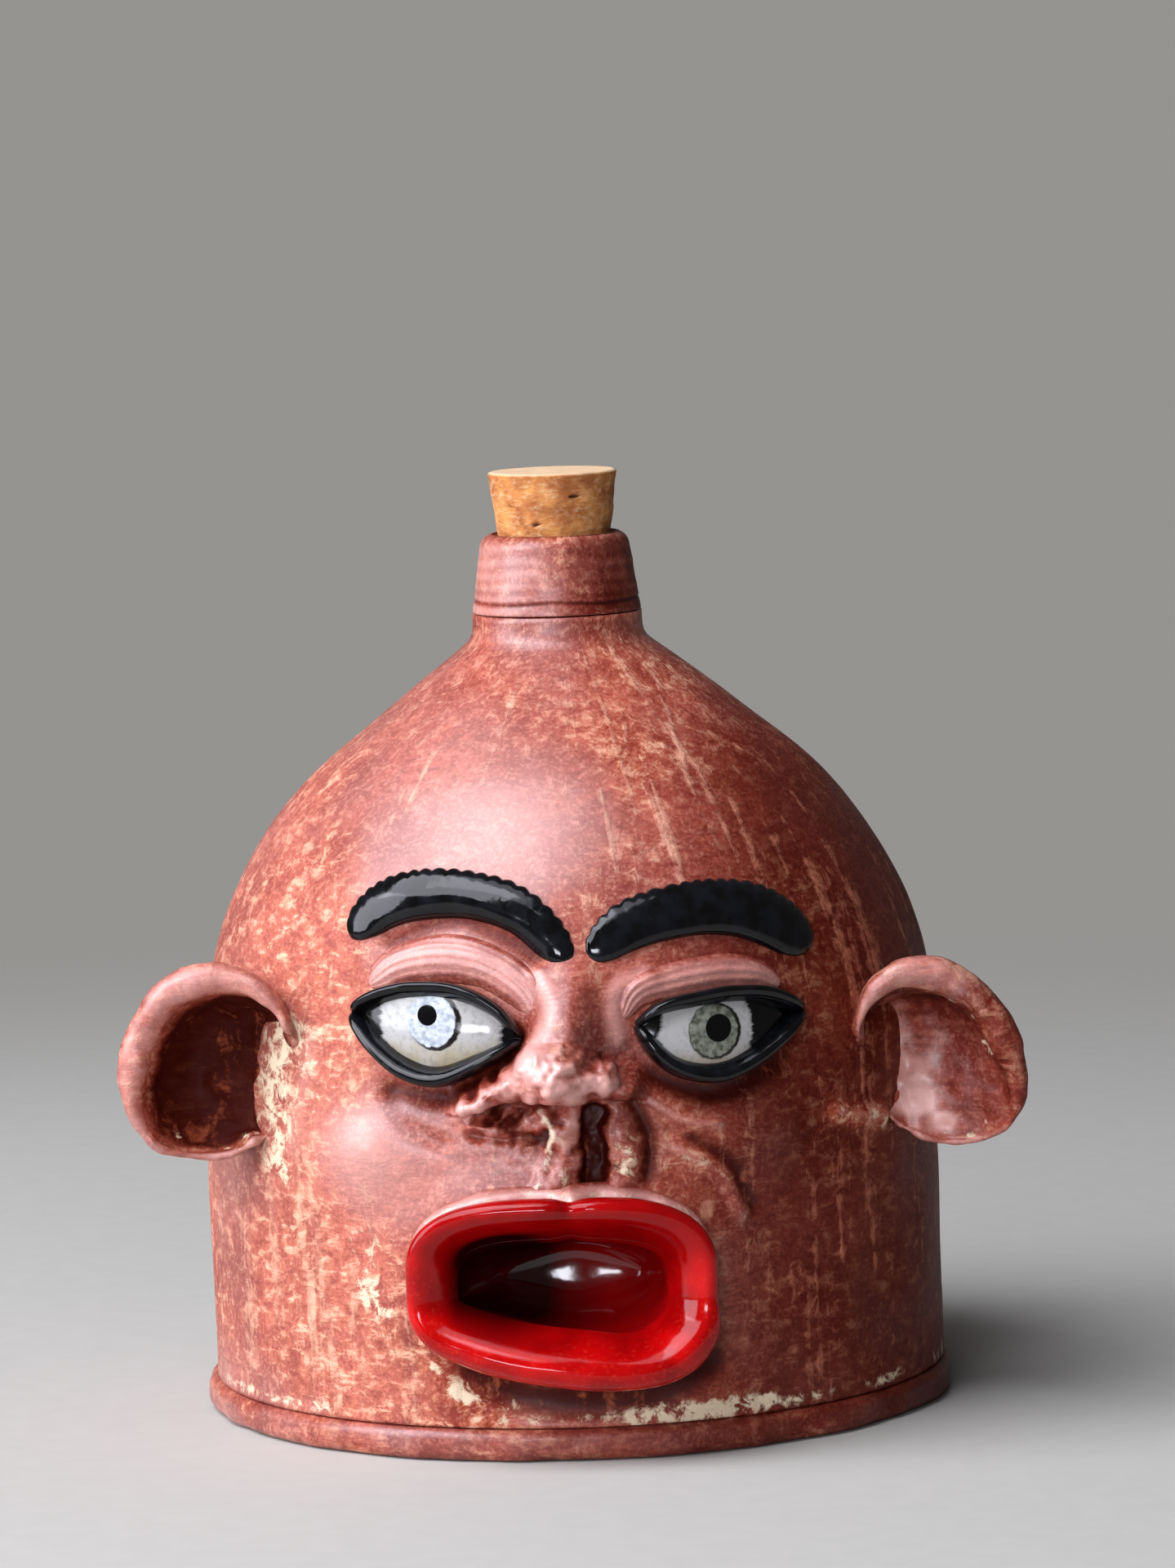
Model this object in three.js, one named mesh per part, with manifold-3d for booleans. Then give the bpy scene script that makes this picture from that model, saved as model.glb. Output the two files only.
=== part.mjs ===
// Face jug: a thrown earthenware bottle with a face modelled on it, closed with a cork.
// Millimetres, +Z up, the face looks along -Y, and the foot's underside is centred on the origin.
// Left and right are the viewer's: left is -X.
import * as THREE from "three";
import { mergeVertices } from "three/addons/utils/BufferGeometryUtils.js";
import Module from "manifold-3d";

const wasm = await Module();
wasm.setup();

// Thrown pieces
const slipSeam = 0.3; // joint of slip between two pieces of clay
const bodyRadius = 68;
const wallThickness = 6;
const wallHeight = 59.8; // straight part of the wall
const shoulderRadius = 72; // arc that turns the wall over into the cone
const shoulderTurn = THREE.MathUtils.degToRad(52.4);
const footThickness = 5.7;
const footLip = 1.2; // how far the foot slab stands out past the wall
const footRound = 1.8; // rounded edge of the slab
const neckRadius = 15.7;
const neckFillet = 4; // hollow curve from the cone into the neck
const neckStub = 2.6; // short neck thrown on the body, under the collar
const collarHeight = 14.4;
const collarDraw = 1.7; // how much the collar narrows before its rounded rim
const collarRound = 2.6; // height of the rounded rim

// Cork
const corkLength = 24;
const corkTopRadius = 12;
const corkTaper = 0.1357; // loss of radius over each millimetre of length
const corkExposed = 11.5; // length above the rim
const corkEdge = 0.6; // bevel at both ends
const corkSeat = 0.3; // clearance between cork and collar

// Places on the face: arcs are measured round the wall from the middle of the face, and levels are
// heights above the shoulder line, where the wall starts to lean in

// Mouth
const mouthArc = -2.9;
const mouthAboveFoot = 25.3;
const mouthHalfWidth = 23; // to the middle of the roll of the lips
const upperLipArch = 12.3; // from the corners of the mouth up to the middle of the upper lip
const lowerLipArch = 11.8;
const lowerLipDroop = 0.25; // share by which the lower lip hangs lower at the right than in the middle
const mouthFullness = 2.5; // 2 is an ellipse, more is squarer
const lipSideWidth = 2.4; // half-width of the roll at the corners of the mouth
const upperLipWidth = 3.8;
const lowerLipWidth = 4.9;
const lipRise = 9.5; // how far the lips stand out from the wall
const lipNotch = 1.5; // dip in the middle of the upper lip
const lipCoilWidth = 2.2;
const lipCoilRise = 3.4;
const cupWall = 3.4;
const cupDepth = 25; // from the wall's outside to the inside of the cup's back

// Nose
const noseTopArc = 1.6;
const noseFootArc = -3.8; // the nose leans to the left on its way down
const noseTopLevel = 20.4;
const noseTipLevel = 3.7;
const noseBaseLevel = -1.8;
const noseRise = 13.5; // how far the tip stands out
const bridgeHalfWidth = 4.2;
const tipHalfWidth = 8.6;
const wingSpread = 9.7; // from the middle of the nose to the middle of a wing
const wingHalfWidth = 5.6;
const wingRise = 8.5;
const nostrilSpread = 7.6;
const nostrilHalfWidth = 3.6;
const columnArc = 1.5; // ridge between nose and lips
const columnHalfWidth = 10;
const columnRise = 3.4;
const gougeArc = 3.6; // hollow scraped down the ridge
const gougeHalfWidth = 3.2;
const gougeHalfHeight = 8;

// Eyes: arches are measured from the line between the corners to the middle line of a lid
const lidReach = 16.4; // half the distance between the corners of the lids
const lidHalfWidth = 1.8;
const ballCornerGap = 3.8; // how far a ball ends before the corners of its lids
const eyeHalfWidth = lidReach - ballCornerGap;
const eyeRise = 5.2;
const ballUnderLid = 0.8; // how far a ball runs on past the middle lines of its lids
const lidRise = 5;
const eyes = {
  left: { arc: -25.2, level: 12.5, slant: THREE.MathUtils.degToRad(-7), upperArch: 5.6, lowerArch: 8.2 },
  right: { arc: 28, level: 11.9, slant: 0, upperArch: 3.9, lowerArch: 8.2 },
};

// Brows and the folds under them: middle lines as points of arc and level
const brows = {
  left: {
    line: [[-42.6, 27.6], [-34, 32.6], [-26, 34.6], [-17, 34.6], [-8, 31.6], [0, 23.6]],
    halfWidth: 3.9,
  },
  right: {
    line: [[4, 24.4], [11, 28.8], [20, 30.7], [28, 30.7], [36, 28.8], [48, 22.6]],
    halfWidth: 4.5,
  },
};
const browRise = 4.2;
const folds = {
  left: { line: [[-38, 20.5], [-31, 23.4], [-22, 24.6], [-14, 23.4], [-7, 19.6]], halfWidth: 3.2 },
  right: { line: [[12, 16.5], [18, 18.6], [25, 19.7], [33, 19.4], [40, 17.4]], halfWidth: 2.4 },
};
const foldRise = 2.6;

// Ears
const earHeight = 38;
const earWidth = 32;
const earRim = 5.2; // thickness of the rolled rim
const earCup = 9.5; // depth of the hollow
const earBack = 5.5; // clay behind the hollow
const earTurn = THREE.MathUtils.degToRad(16); // how far the hollow faces outwards
const earTilt = THREE.MathUtils.degToRad(24); // how far the top leans to the head
const earSeat = THREE.MathUtils.degToRad(48); // how far round the wall the front of an ear is pressed on
const ears = {
  left: { side: -1, reach: 15.5, level: 4.2 }, // reach: sideways from the seat to the ear's middle
  right: { side: 1, reach: 16.5, level: 1.8 },
};

// Fineness of the faceted surfaces
const wallSides = 44;
const neckSides = 30;
const earSides = 24;
const eyeSides = 20;
const noseSides = 16;
const noseSteps = 7;
const ringStations = 36;
const coilStations = 14;
const coilSides = 12;

// Heights that follow from the sizes above
const bodyFoot = footThickness + slipSeam;
const wallTop = bodyFoot + wallHeight;
const coneFoot = {
  radius: bodyRadius - shoulderRadius + shoulderRadius * Math.cos(shoulderTurn),
  height: wallTop + shoulderRadius * Math.sin(shoulderTurn),
};
const filletRun = (neckRadius + neckFillet - coneFoot.radius) * Math.cos(shoulderTurn);
const filletHeight = coneFoot.height + (neckFillet - filletRun) / Math.sin(shoulderTurn);
const stubTop = filletHeight + neckStub;
const collarFoot = stubTop + slipSeam;
const rimHeight = collarFoot + collarHeight;
const corkTop = rimHeight + corkExposed;
const corkFoot = corkTop - corkLength;
const throatRadius = neckRadius - wallThickness;
const mouthHeight = bodyFoot + mouthAboveFoot;
const noseTop = wallTop + noseTopLevel;
const noseTip = wallTop + noseTipLevel;
const noseBase = wallTop + noseBaseLevel;

const fired = (color, roughness) => new THREE.MeshStandardMaterial({ color, roughness, metalness: 0 });
const group = new THREE.Group();

// Closed geometry as a solid that can be cut and joined
function solidFrom(geometry) {
  const bare = geometry.clone();
  bare.deleteAttribute("normal");
  bare.deleteAttribute("uv");
  const merged = mergeVertices(bare, 1e-4);
  const vertProperties = merged.attributes.position.array;
  const triVerts = new Uint32Array(merged.index.array);
  return new wasm.Manifold(new wasm.Mesh({ numProp: 3, vertProperties, triVerts }));
}

function addPiece(name, solid, material) {
  const { vertProperties, triVerts } = solid.getMesh();
  const geometry = new THREE.BufferGeometry();
  geometry.setAttribute("position", new THREE.Float32BufferAttribute(vertProperties, 3));
  geometry.setIndex(new THREE.Uint32BufferAttribute(triVerts, 1));
  geometry.computeVertexNormals();
  const piece = new THREE.Mesh(geometry, material);
  piece.name = name;
  group.add(piece);
}

// Solid of revolution about the jug's axis, from points of radius and height
function turned(points, sides) {
  const geometry = new THREE.LatheGeometry(points, sides);
  geometry.rotateX(Math.PI / 2);
  return solidFrom(geometry);
}

// Closed solid through rings of points, capped at both ends or joined end to start
function loft(rings, runsRound = false) {
  const count = rings[0].length;
  const last = (rings.length - 1) * count;
  const faces = [];
  for (let i = 0; i < rings.length - (runsRound ? 0 : 1); i++) {
    const here = i * count;
    const there = ((i + 1) % rings.length) * count;
    for (let k = 0; k < count; k++) {
      const next = (k + 1) % count;
      faces.push(here + k, here + next, there + next, here + k, there + next, there + k);
    }
  }
  for (let k = 1; k < count - 1 && !runsRound; k++) {
    faces.push(0, k + 1, k, last, last + k, last + k + 1);
  }
  const geometry = new THREE.BufferGeometry().setFromPoints(rings.flat());
  geometry.setIndex(faces);
  return solidFrom(geometry);
}

// Ball stretched to three half-sizes, turned to the given directions and moved to a centre
function ellipsoid(centre, frame, halfSizes, sides) {
  const geometry = new THREE.SphereGeometry(1, sides, Math.round(sides * 0.6));
  geometry.scale(...halfSizes);
  geometry.applyMatrix4(new THREE.Matrix4().makeBasis(frame.along, frame.up, frame.out));
  geometry.translate(centre.x, centre.y, centre.z);
  return solidFrom(geometry);
}

// Profile of the wall from its foot to the top of the neck stub, moved outwards by an offset
function wallProfile(offset) {
  const path = new THREE.Path();
  path.moveTo(bodyRadius + offset, bodyFoot);
  path.lineTo(bodyRadius + offset, wallTop);
  path.absarc(bodyRadius - shoulderRadius, wallTop, shoulderRadius + offset, 0, shoulderTurn, false);
  const neckCentre = neckRadius + neckFillet;
  path.absarc(neckCentre, filletHeight, neckFillet - offset, Math.PI + shoulderTurn, Math.PI, true);
  path.lineTo(neckRadius + offset, stubTop);
  return path.getPoints(3);
}

// The jug's outside as one solid without a hollow, grown by an offset
function envelope(offset) {
  const foot = new THREE.Vector2(0, bodyFoot);
  const top = new THREE.Vector2(0, stubTop);
  return turned([foot, ...wallProfile(offset), top], wallSides);
}

// Lean of the wall's outside from upright, at a height below the neck fillet
function wallLean(height) {
  const sine = THREE.MathUtils.clamp((height - wallTop) / shoulderRadius, 0, Math.sin(shoulderTurn));
  return Math.asin(sine);
}

function wallRadius(height) {
  const lean = wallLean(height);
  const cone = Math.max(height - coneFoot.height, 0) * Math.tan(shoulderTurn);
  return bodyRadius - shoulderRadius * (1 - Math.cos(lean)) - cone;
}

// Place on the wall's outside, with the directions along it, up it and out of it
function onWall(arc, height) {
  const radius = wallRadius(height);
  const turn = arc / radius;
  const lean = wallLean(height);
  const flat = new THREE.Vector3(Math.sin(turn), -Math.cos(turn), 0);
  const place = flat.clone().multiplyScalar(radius).setZ(height);
  const out = flat.multiplyScalar(Math.cos(lean)).setZ(Math.sin(lean));
  const along = new THREE.Vector3(Math.cos(turn), Math.sin(turn), 0);
  const up = out.clone().cross(along);
  return { place, along, up, out };
}

// Roll of clay laid on the wall along a line of arcs and levels; half its section is in the wall
// and a gap grows it on all sides
function roll(line, halfWidthAt, riseAt, gap, runsRound = false) {
  const points = line.map(([arc, level]) => new THREE.Vector3(arc, wallTop + level, 0));
  const curve = new THREE.CatmullRomCurve3(points, runsRound);
  const stations = runsRound ? ringStations : coilStations;
  const rings = [];
  for (let i = 0; i < stations + (runsRound ? 0 : 1); i++) {
    const share = i / stations;
    const travel = curve.getTangentAt(share);
    const past = runsRound ? 0 : gap * ((i === stations) - (i === 0));
    const middle = curve.getPointAt(share).addScaledVector(travel, past);
    const { place, along, up, out } = onWall(middle.x, middle.y);
    const across = up.multiplyScalar(travel.x).addScaledVector(along, -travel.y);
    const ring = [];
    for (let k = 0; k < coilSides; k++) {
      const angle = (2 * Math.PI * k) / coilSides;
      const point = place.clone();
      point.addScaledVector(across, (halfWidthAt(share) + gap) * Math.cos(angle));
      point.addScaledVector(out, (riseAt(share) + gap) * Math.sin(angle));
      ring.push(point);
    }
    rings.push(ring);
  }
  return loft(rings, runsRound);
}

// Fullness along a roll: full in the middle, rounded off at both ends
function roundedEnds(share, endLength) {
  const fromEnd = Math.min(share, 1 - share) / endLength;
  const rest = 1 - Math.min(fromEnd, 1);
  return Math.max(Math.sqrt(1 - rest * rest), 0.3);
}

// Thrown pieces
const outside = envelope(0);
const clayCut = envelope(slipSeam);

const footRadius = bodyRadius + footLip;
const footEdge = new THREE.Path();
footEdge.moveTo(0, 0);
footEdge.lineTo(footRadius - footRound, 0);
footEdge.quadraticCurveTo(footRadius, 0, footRadius, footRound);
footEdge.lineTo(footRadius, footThickness - footRound);
footEdge.quadraticCurveTo(footRadius, footThickness, footRadius - footRound, footThickness);
footEdge.lineTo(0, footThickness);
const footSlab = turned(footEdge.getPoints(3), wallSides);

const bell = [...wallProfile(0), ...wallProfile(-wallThickness).reverse()];
const jugWall = turned([...bell, bell[0]], wallSides);

// Collar: its bore follows the cork down to the throat
const boreRimRadius = corkTopRadius - corkExposed * corkTaper + corkSeat;
const boreTaperLength = (boreRimRadius - throatRadius) / corkTaper;
const collarTopRadius = neckRadius - collarDraw;
const collar = new THREE.Path();
collar.moveTo(throatRadius, collarFoot);
collar.lineTo(neckRadius, collarFoot);
collar.lineTo(collarTopRadius, rimHeight - collarRound);
collar.quadraticCurveTo(collarTopRadius - 0.4, rimHeight, collarTopRadius - collarRound / 2, rimHeight);
collar.lineTo(boreRimRadius, rimHeight);
collar.lineTo(throatRadius, rimHeight - boreTaperLength);
collar.lineTo(throatRadius, collarFoot);
const neckCollar = turned(collar.getPoints(4), neckSides);

const corkFootRadius = corkTopRadius - corkLength * corkTaper;
const corkPoints = [
  [0, corkFoot],
  [corkFootRadius - corkEdge, corkFoot],
  [corkFootRadius, corkFoot + corkEdge],
  [corkTopRadius, corkTop - corkEdge],
  [corkTopRadius - corkEdge, corkTop],
  [0, corkTop],
];
const cork = turned(corkPoints.map(([radius, height]) => new THREE.Vector2(radius, height)), neckSides);

// Oval of the mouth as points of arc and level; all its half-sizes are grown by a margin
function mouthOval(margin, count) {
  const points = [];
  for (let i = 0; i < count; i++) {
    const angle = (2 * Math.PI * i) / count;
    const squarer = (value) => Math.sign(value) * Math.abs(value) ** (2 / mouthFullness);
    const across = squarer(Math.cos(angle));
    const upright = squarer(Math.sin(angle));
    const lower = lowerLipArch * (1 + lowerLipDroop * across);
    const arch = (upright > 0 ? upperLipArch : lower) + margin;
    const level = mouthHeight - wallTop + arch * upright;
    points.push([mouthArc + (mouthHalfWidth + margin) * across, level]);
  }
  return points;
}

// Solid that fills the mouth from in front of the wall to a rounded back
function mouthFilling(margin, depth) {
  const rings = [];
  const steps = 6;
  for (let i = 0; i <= steps; i++) {
    const angle = (i / steps) * (Math.PI / 2);
    const inset = mouthHalfWidth * 0.3 * (1 - Math.cos(angle));
    const oval = mouthOval(margin - upperLipWidth - inset, 28);
    const reach = bodyRadius - depth * Math.sin(angle);
    rings.push(oval.map(([arc, level]) => new THREE.Vector3(arc, -reach, wallTop + level)));
  }
  const front = rings[0].map((point) => point.clone().setY(-bodyRadius - lipRise));
  return loft([front, ...rings].reverse());
}

const mouthHole = mouthFilling(cupWall + slipSeam, cupDepth + cupWall + slipSeam);
const cupHollow = mouthFilling(0, cupDepth);
const mouthCup = mouthFilling(cupWall, cupDepth + cupWall).subtract(cupHollow).intersect(outside);

// Lips and the coil round them
function lipHalfWidth(share) {
  const upright = Math.sin(2 * Math.PI * share);
  const middle = Math.exp(-(((share - 0.25) / 0.035) ** 2));
  const full = upright > 0 ? upperLipWidth : lowerLipWidth;
  return lipSideWidth + (full - lipSideWidth) * Math.abs(upright) - 0.5 * lipNotch * middle;
}

function lipRoll(gap) {
  const line = mouthOval(0, ringStations);
  return roll(line, lipHalfWidth, () => lipRise, gap, true);
}

function lipCoilRoll(gap) {
  const line = mouthOval(upperLipWidth, ringStations);
  return roll(line, () => lipCoilWidth, () => lipCoilRise, gap, true);
}

const lipCut = lipRoll(slipSeam);
const lips = lipRoll(0).subtract(clayCut);
const lipCoil = lipCoilRoll(0).subtract(clayCut).subtract(lipCut);

// Eyes: a ball in the wall with a roll for each lid; the lower lid ends under the upper one's corners
function lidLine(eye, arch) {
  const reach = arch > 0 ? lidReach : lidReach - lidHalfWidth;
  const line = [];
  for (let i = 0; i <= 8; i++) {
    const across = -1 + i / 4;
    const point = new THREE.Vector2(reach * across, arch * (1 - Math.abs(across) ** 2.2));
    point.rotateAround(new THREE.Vector2(), eye.slant);
    line.push([eye.arc + point.x, eye.level + point.y]);
  }
  return line;
}

function lid(eye, arch, gap) {
  const fullness = (share) => 0.45 + 0.55 * Math.sin(Math.PI * share) ** 0.7;
  const halfWidth = (share) => lidHalfWidth * fullness(share);
  return roll(lidLine(eye, arch), halfWidth, (share) => lidRise * fullness(share), gap);
}

function eyeball(eye, gap) {
  const middle = eye.level + (eye.upperArch - eye.lowerArch) / 2;
  const seat = onWall(eye.arc, wallTop + middle);
  seat.along.applyAxisAngle(seat.out, eye.slant);
  seat.up.applyAxisAngle(seat.out, eye.slant);
  const halfHeight = (eye.upperArch + eye.lowerArch) / 2 + ballUnderLid;
  const halfSizes = [eyeHalfWidth, halfHeight, eyeRise].map((size) => size + gap);
  return ellipsoid(seat.place, seat, halfSizes, eyeSides);
}

// Brows and folds: rolls with rounded ends
function browRoll(side, gap) {
  const { line, halfWidth } = brows[side];
  const shape = (share) => roundedEnds(share, 0.12);
  return roll(line, (share) => halfWidth * shape(share), (share) => browRise * shape(share), gap);
}

function foldRoll(side) {
  const { line, halfWidth } = folds[side];
  const shape = (share) => roundedEnds(share, 0.4);
  return roll(line, (share) => halfWidth * shape(share), (share) => foldRise * shape(share), 0);
}

// Nose: rings stacked up the face, two wings and a ridge down to the lips
function noseRing(arc, height, halfWidth, rise) {
  const { place, along } = onWall(arc, height);
  const ahead = along.clone().cross(new THREE.Vector3(0, 0, 1));
  const ring = [];
  for (let k = 0; k < noseSides; k++) {
    const angle = (2 * Math.PI * k) / noseSides;
    const point = place.clone().addScaledVector(along, halfWidth * Math.cos(angle));
    ring.push(point.addScaledVector(ahead, -rise * Math.sin(angle)));
  }
  return ring;
}

const { lerp } = THREE.MathUtils;
const tipFoot = noseRing(noseFootArc, noseBase, tipHalfWidth * 0.75, noseRise * 0.72);
const underTip = noseRing(noseFootArc, (noseTip + noseBase) / 2, tipHalfWidth * 0.97, noseRise * 0.96);
const noseRings = [tipFoot, underTip];
for (let share = 0; share < 1.01; share += 1 / noseSteps) {
  const arc = lerp(noseFootArc, noseTopArc, share);
  const halfWidth = lerp(tipHalfWidth, bridgeHalfWidth, share ** 0.6);
  noseRings.push(noseRing(arc, lerp(noseTip, noseTop, share), halfWidth, lerp(noseRise, 2, share ** 0.8)));
}

const columnFoot = noseRing(columnArc, mouthHeight + upperLipArch, columnHalfWidth, columnRise);
const columnTop = noseRing(columnArc, noseTip, columnHalfWidth * 0.7, columnRise);
let nose = loft(noseRings).add(loft([columnFoot, columnTop]));
for (const side of [-1, 1]) {
  const wing = onWall(noseFootArc + side * wingSpread, noseBase + 3.4);
  nose = nose.add(ellipsoid(wing.place, wing, [wingHalfWidth, 5, wingRise], noseSides));
}
for (const side of [-1, 1]) {
  const nostril = onWall(noseFootArc + side * nostrilSpread, noseBase - 1);
  const middle = nostril.place.clone().addScaledVector(nostril.out, wingRise * 0.6);
  nose = nose.subtract(ellipsoid(middle, nostril, [nostrilHalfWidth, 5, 3.4], noseSides));
}
const gouge = onWall(gougeArc, (noseBase + mouthHeight + upperLipArch + upperLipWidth) / 2);
const gougeMiddle = gouge.place.clone().addScaledVector(gouge.out, columnRise + 1);
nose = nose.subtract(ellipsoid(gougeMiddle, gouge, [gougeHalfWidth, gougeHalfHeight, 4], noseSides));
nose = nose.subtract(clayCut).subtract(lipCut).subtract(lipCoilRoll(slipSeam));
for (const side of ["left", "right"]) {
  nose = nose.subtract(browRoll(side, slipSeam));
  nose = nose.subtract(lid(eyes[side], eyes[side].upperArch, slipSeam));
  nose = nose.subtract(lid(eyes[side], -eyes[side].lowerArch, slipSeam));
}

// Ears: a bowl with a rolled rim, drawn round and then narrowed to an oval
function earBowl() {
  const rimMiddle = (earHeight - earRim) / 2;
  const profile = new THREE.Path();
  profile.moveTo(0, earCup);
  profile.quadraticCurveTo(rimMiddle * 0.75, earCup, rimMiddle - earRim / 2, earRim / 2);
  profile.absarc(rimMiddle, earRim / 2, earRim / 2, Math.PI, 2 * Math.PI, false);
  profile.quadraticCurveTo(rimMiddle * 0.95, earCup + earBack, 0, earCup + earBack);
  const bowl = new THREE.LatheGeometry(profile.getPoints(4), earSides);
  bowl.scale(earWidth / earHeight, 1, 1);
  return bowl;
}

function ear({ side, reach, level }) {
  const bowl = earBowl();
  bowl.rotateY(side * earTilt);
  bowl.rotateZ(side * earTurn);
  const sideways = bodyRadius * Math.sin(earSeat) + reach;
  bowl.translate(side * sideways, -bodyRadius * Math.cos(earSeat), wallTop + level);
  return solidFrom(bowl);
}

// Assembly
addPiece("jug_body", jugWall.subtract(mouthHole), fired("#a2574a", 0.8));
addPiece("foot_slab", footSlab, fired("#9d5348", 0.75));
addPiece("neck_collar", neckCollar, fired("#8e5148", 0.7));
addPiece("cork_stopper", cork, fired("#b97c40", 0.95));
addPiece("mouth_cup", mouthCup, fired("#8c0508", 0.15));
addPiece("lips", lips, fired("#b4070c", 0.12));
addPiece("lip_coil", lipCoil, fired("#a2574a", 0.8));
addPiece("nose", nose, fired("#a2574a", 0.75));

for (const side of ["left", "right"]) {
  const eye = eyes[side];
  const ballCut = eyeball(eye, slipSeam);
  const browCut = browRoll(side, slipSeam);
  const upperCut = lid(eye, eye.upperArch, slipSeam);
  const ball = eyeball(eye, 0).subtract(clayCut);
  const upperLid = lid(eye, eye.upperArch, 0).subtract(clayCut).subtract(ballCut);
  const lowerLid = lid(eye, -eye.lowerArch, 0).subtract(clayCut).subtract(ballCut).subtract(upperCut);
  const brow = browRoll(side, 0).subtract(clayCut);
  const fold = foldRoll(side).subtract(clayCut).subtract(browCut).subtract(upperCut).subtract(ballCut);
  addPiece(`${side}_ear`, ear(ears[side]).subtract(clayCut), fired("#a2574a", 0.8));
  addPiece(`${side}_brow`, brow, fired("#0c0c0e", 0.12));
  addPiece(`${side}_lid_fold`, fold, fired("#a2574a", 0.8));
  addPiece(`${side}_eyeball`, ball, fired("#dcdcd2", 0.12));
  addPiece(`${side}_upper_lid`, upperLid, fired("#0c0c0e", 0.12));
  addPiece(`${side}_lower_lid`, lowerLid, fired("#0c0c0e", 0.12));
}

export default group;
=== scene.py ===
# %% [markdown]
# # A face jug
# A face jug is a bottle thrown on a potter's wheel, with a face put on its wall from rolls and pats
# of soft clay. Only the cork comes away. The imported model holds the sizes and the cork's travel.
# This lesson gives every piece the surface that hands, tools and glaze leave on it.

# %% Load the frame
import math

import bpy
import numpy as np
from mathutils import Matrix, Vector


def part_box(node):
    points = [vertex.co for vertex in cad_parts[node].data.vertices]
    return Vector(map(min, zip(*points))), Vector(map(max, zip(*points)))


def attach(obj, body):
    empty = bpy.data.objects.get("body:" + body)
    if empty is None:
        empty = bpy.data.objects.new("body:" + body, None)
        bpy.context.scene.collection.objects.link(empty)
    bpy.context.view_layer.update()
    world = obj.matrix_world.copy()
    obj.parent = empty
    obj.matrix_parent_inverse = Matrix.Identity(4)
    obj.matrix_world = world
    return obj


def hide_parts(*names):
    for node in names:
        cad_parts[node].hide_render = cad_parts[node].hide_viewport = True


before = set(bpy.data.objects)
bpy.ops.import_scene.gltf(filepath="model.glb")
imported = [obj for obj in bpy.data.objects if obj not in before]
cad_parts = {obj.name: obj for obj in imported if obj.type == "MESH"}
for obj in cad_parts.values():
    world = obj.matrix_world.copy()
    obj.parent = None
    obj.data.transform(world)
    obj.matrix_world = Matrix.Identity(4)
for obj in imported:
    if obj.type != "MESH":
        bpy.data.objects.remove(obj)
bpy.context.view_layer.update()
mm = 0.001
corners = {name: [np.array(corner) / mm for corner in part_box(name)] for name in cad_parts}
print("nodes:", len(corners))


# %% [markdown]
# ## From a grid of numbers to a mesh
# Every piece here is a sheet bent in space: one parameter runs along it and another across. It could
# be sculpted by hand, but arithmetic gives the same piece on every run. numpy works a whole grid out
# at once, and one function turns any such grid into a closed mesh. Values that a finish needs later,
# such as where slip was smeared, ride along as attributes.

# %% The mesh maker
def surface(name, grid, around=True, ring=False, first_tip=None, last_tip=None, back=None, **marks):
    """Mesh from a grid of points in millimetres, rows by columns.

    Each four neighbours make a face. `around` joins the last column to the first, `ring` the last
    row to the first. A tip closes the first or the last row with a fan, and `back` closes the border
    of an open patch. A mark is one number for each point, kept as an attribute under its own name."""
    rows, columns = grid.shape[:2]
    index = np.arange(rows * columns).reshape(rows, columns)
    if around:
        index = np.hstack([index, index[:, :1]])
    if ring:
        index = np.vstack([index, index[:1]])
    quads = np.stack([index[:-1, :-1], index[:-1, 1:], index[1:, 1:], index[1:, :-1]], axis=-1)
    faces = quads.reshape(-1, 4).tolist()
    border = np.concatenate([index[0], index[1:, -1], index[-1, -2::-1], index[-2::-1, 0]])
    points = grid.reshape(-1, 3)
    values = {mark: np.broadcast_to(value, (rows, columns)).ravel() for mark, value in marks.items()}
    for tip, edge in ((first_tip, index[0, ::-1]), (last_tip, index[-1]), (back, border[::-1])):
        if tip is not None:
            fan = np.column_stack([edge[:-1], edge[1:], np.full(len(edge) - 1, len(points))])
            faces += fan.tolist()
            points = np.vstack([points, tip])
            values = {mark: np.append(value, value[edge].mean()) for mark, value in values.items()}
    mesh = bpy.data.meshes.new(name)
    mesh.from_pydata(points * mm, [], faces)
    for mark, value in values.items():
        held = mesh.attributes.new(mark, "FLOAT", "POINT").data
        held.foreach_set("value", value.astype(np.float32))
    mesh.shade_smooth()
    piece = bpy.data.objects.new(name, mesh)
    bpy.context.scene.collection.objects.link(piece)
    print(name, "faces:", len(faces))
    return piece


# %% [markdown]
# ## The thrown wall
# The bottle is one profile turned round an axis: a straight wall, a shoulder that turns it inwards,
# a cone, a hollow fillet and the stub of the neck. A Screw modifier could turn it. A formula was
# chosen because the face lies on that wall, so its pieces are drawn in wall space: how far round the
# wall, how high, and how far out from it. One function carries such a point into the room.

# %% The wall's profile and wall space
wall_radius = round(corners["jug_body"][1][0], 1)
wall_foot = round(corners["jug_body"][0][2], 1)
wall_height = 59.8
wall_thickness = 6.0
shoulder_radius = 72.0
shoulder_turn = math.radians(52.4)
neck_radius = 15.7
neck_fillet = 4.0
neck_top = round(corners["jug_body"][1][2], 1)
shoulder_line = wall_foot + wall_height
curve_steps = 60


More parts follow.
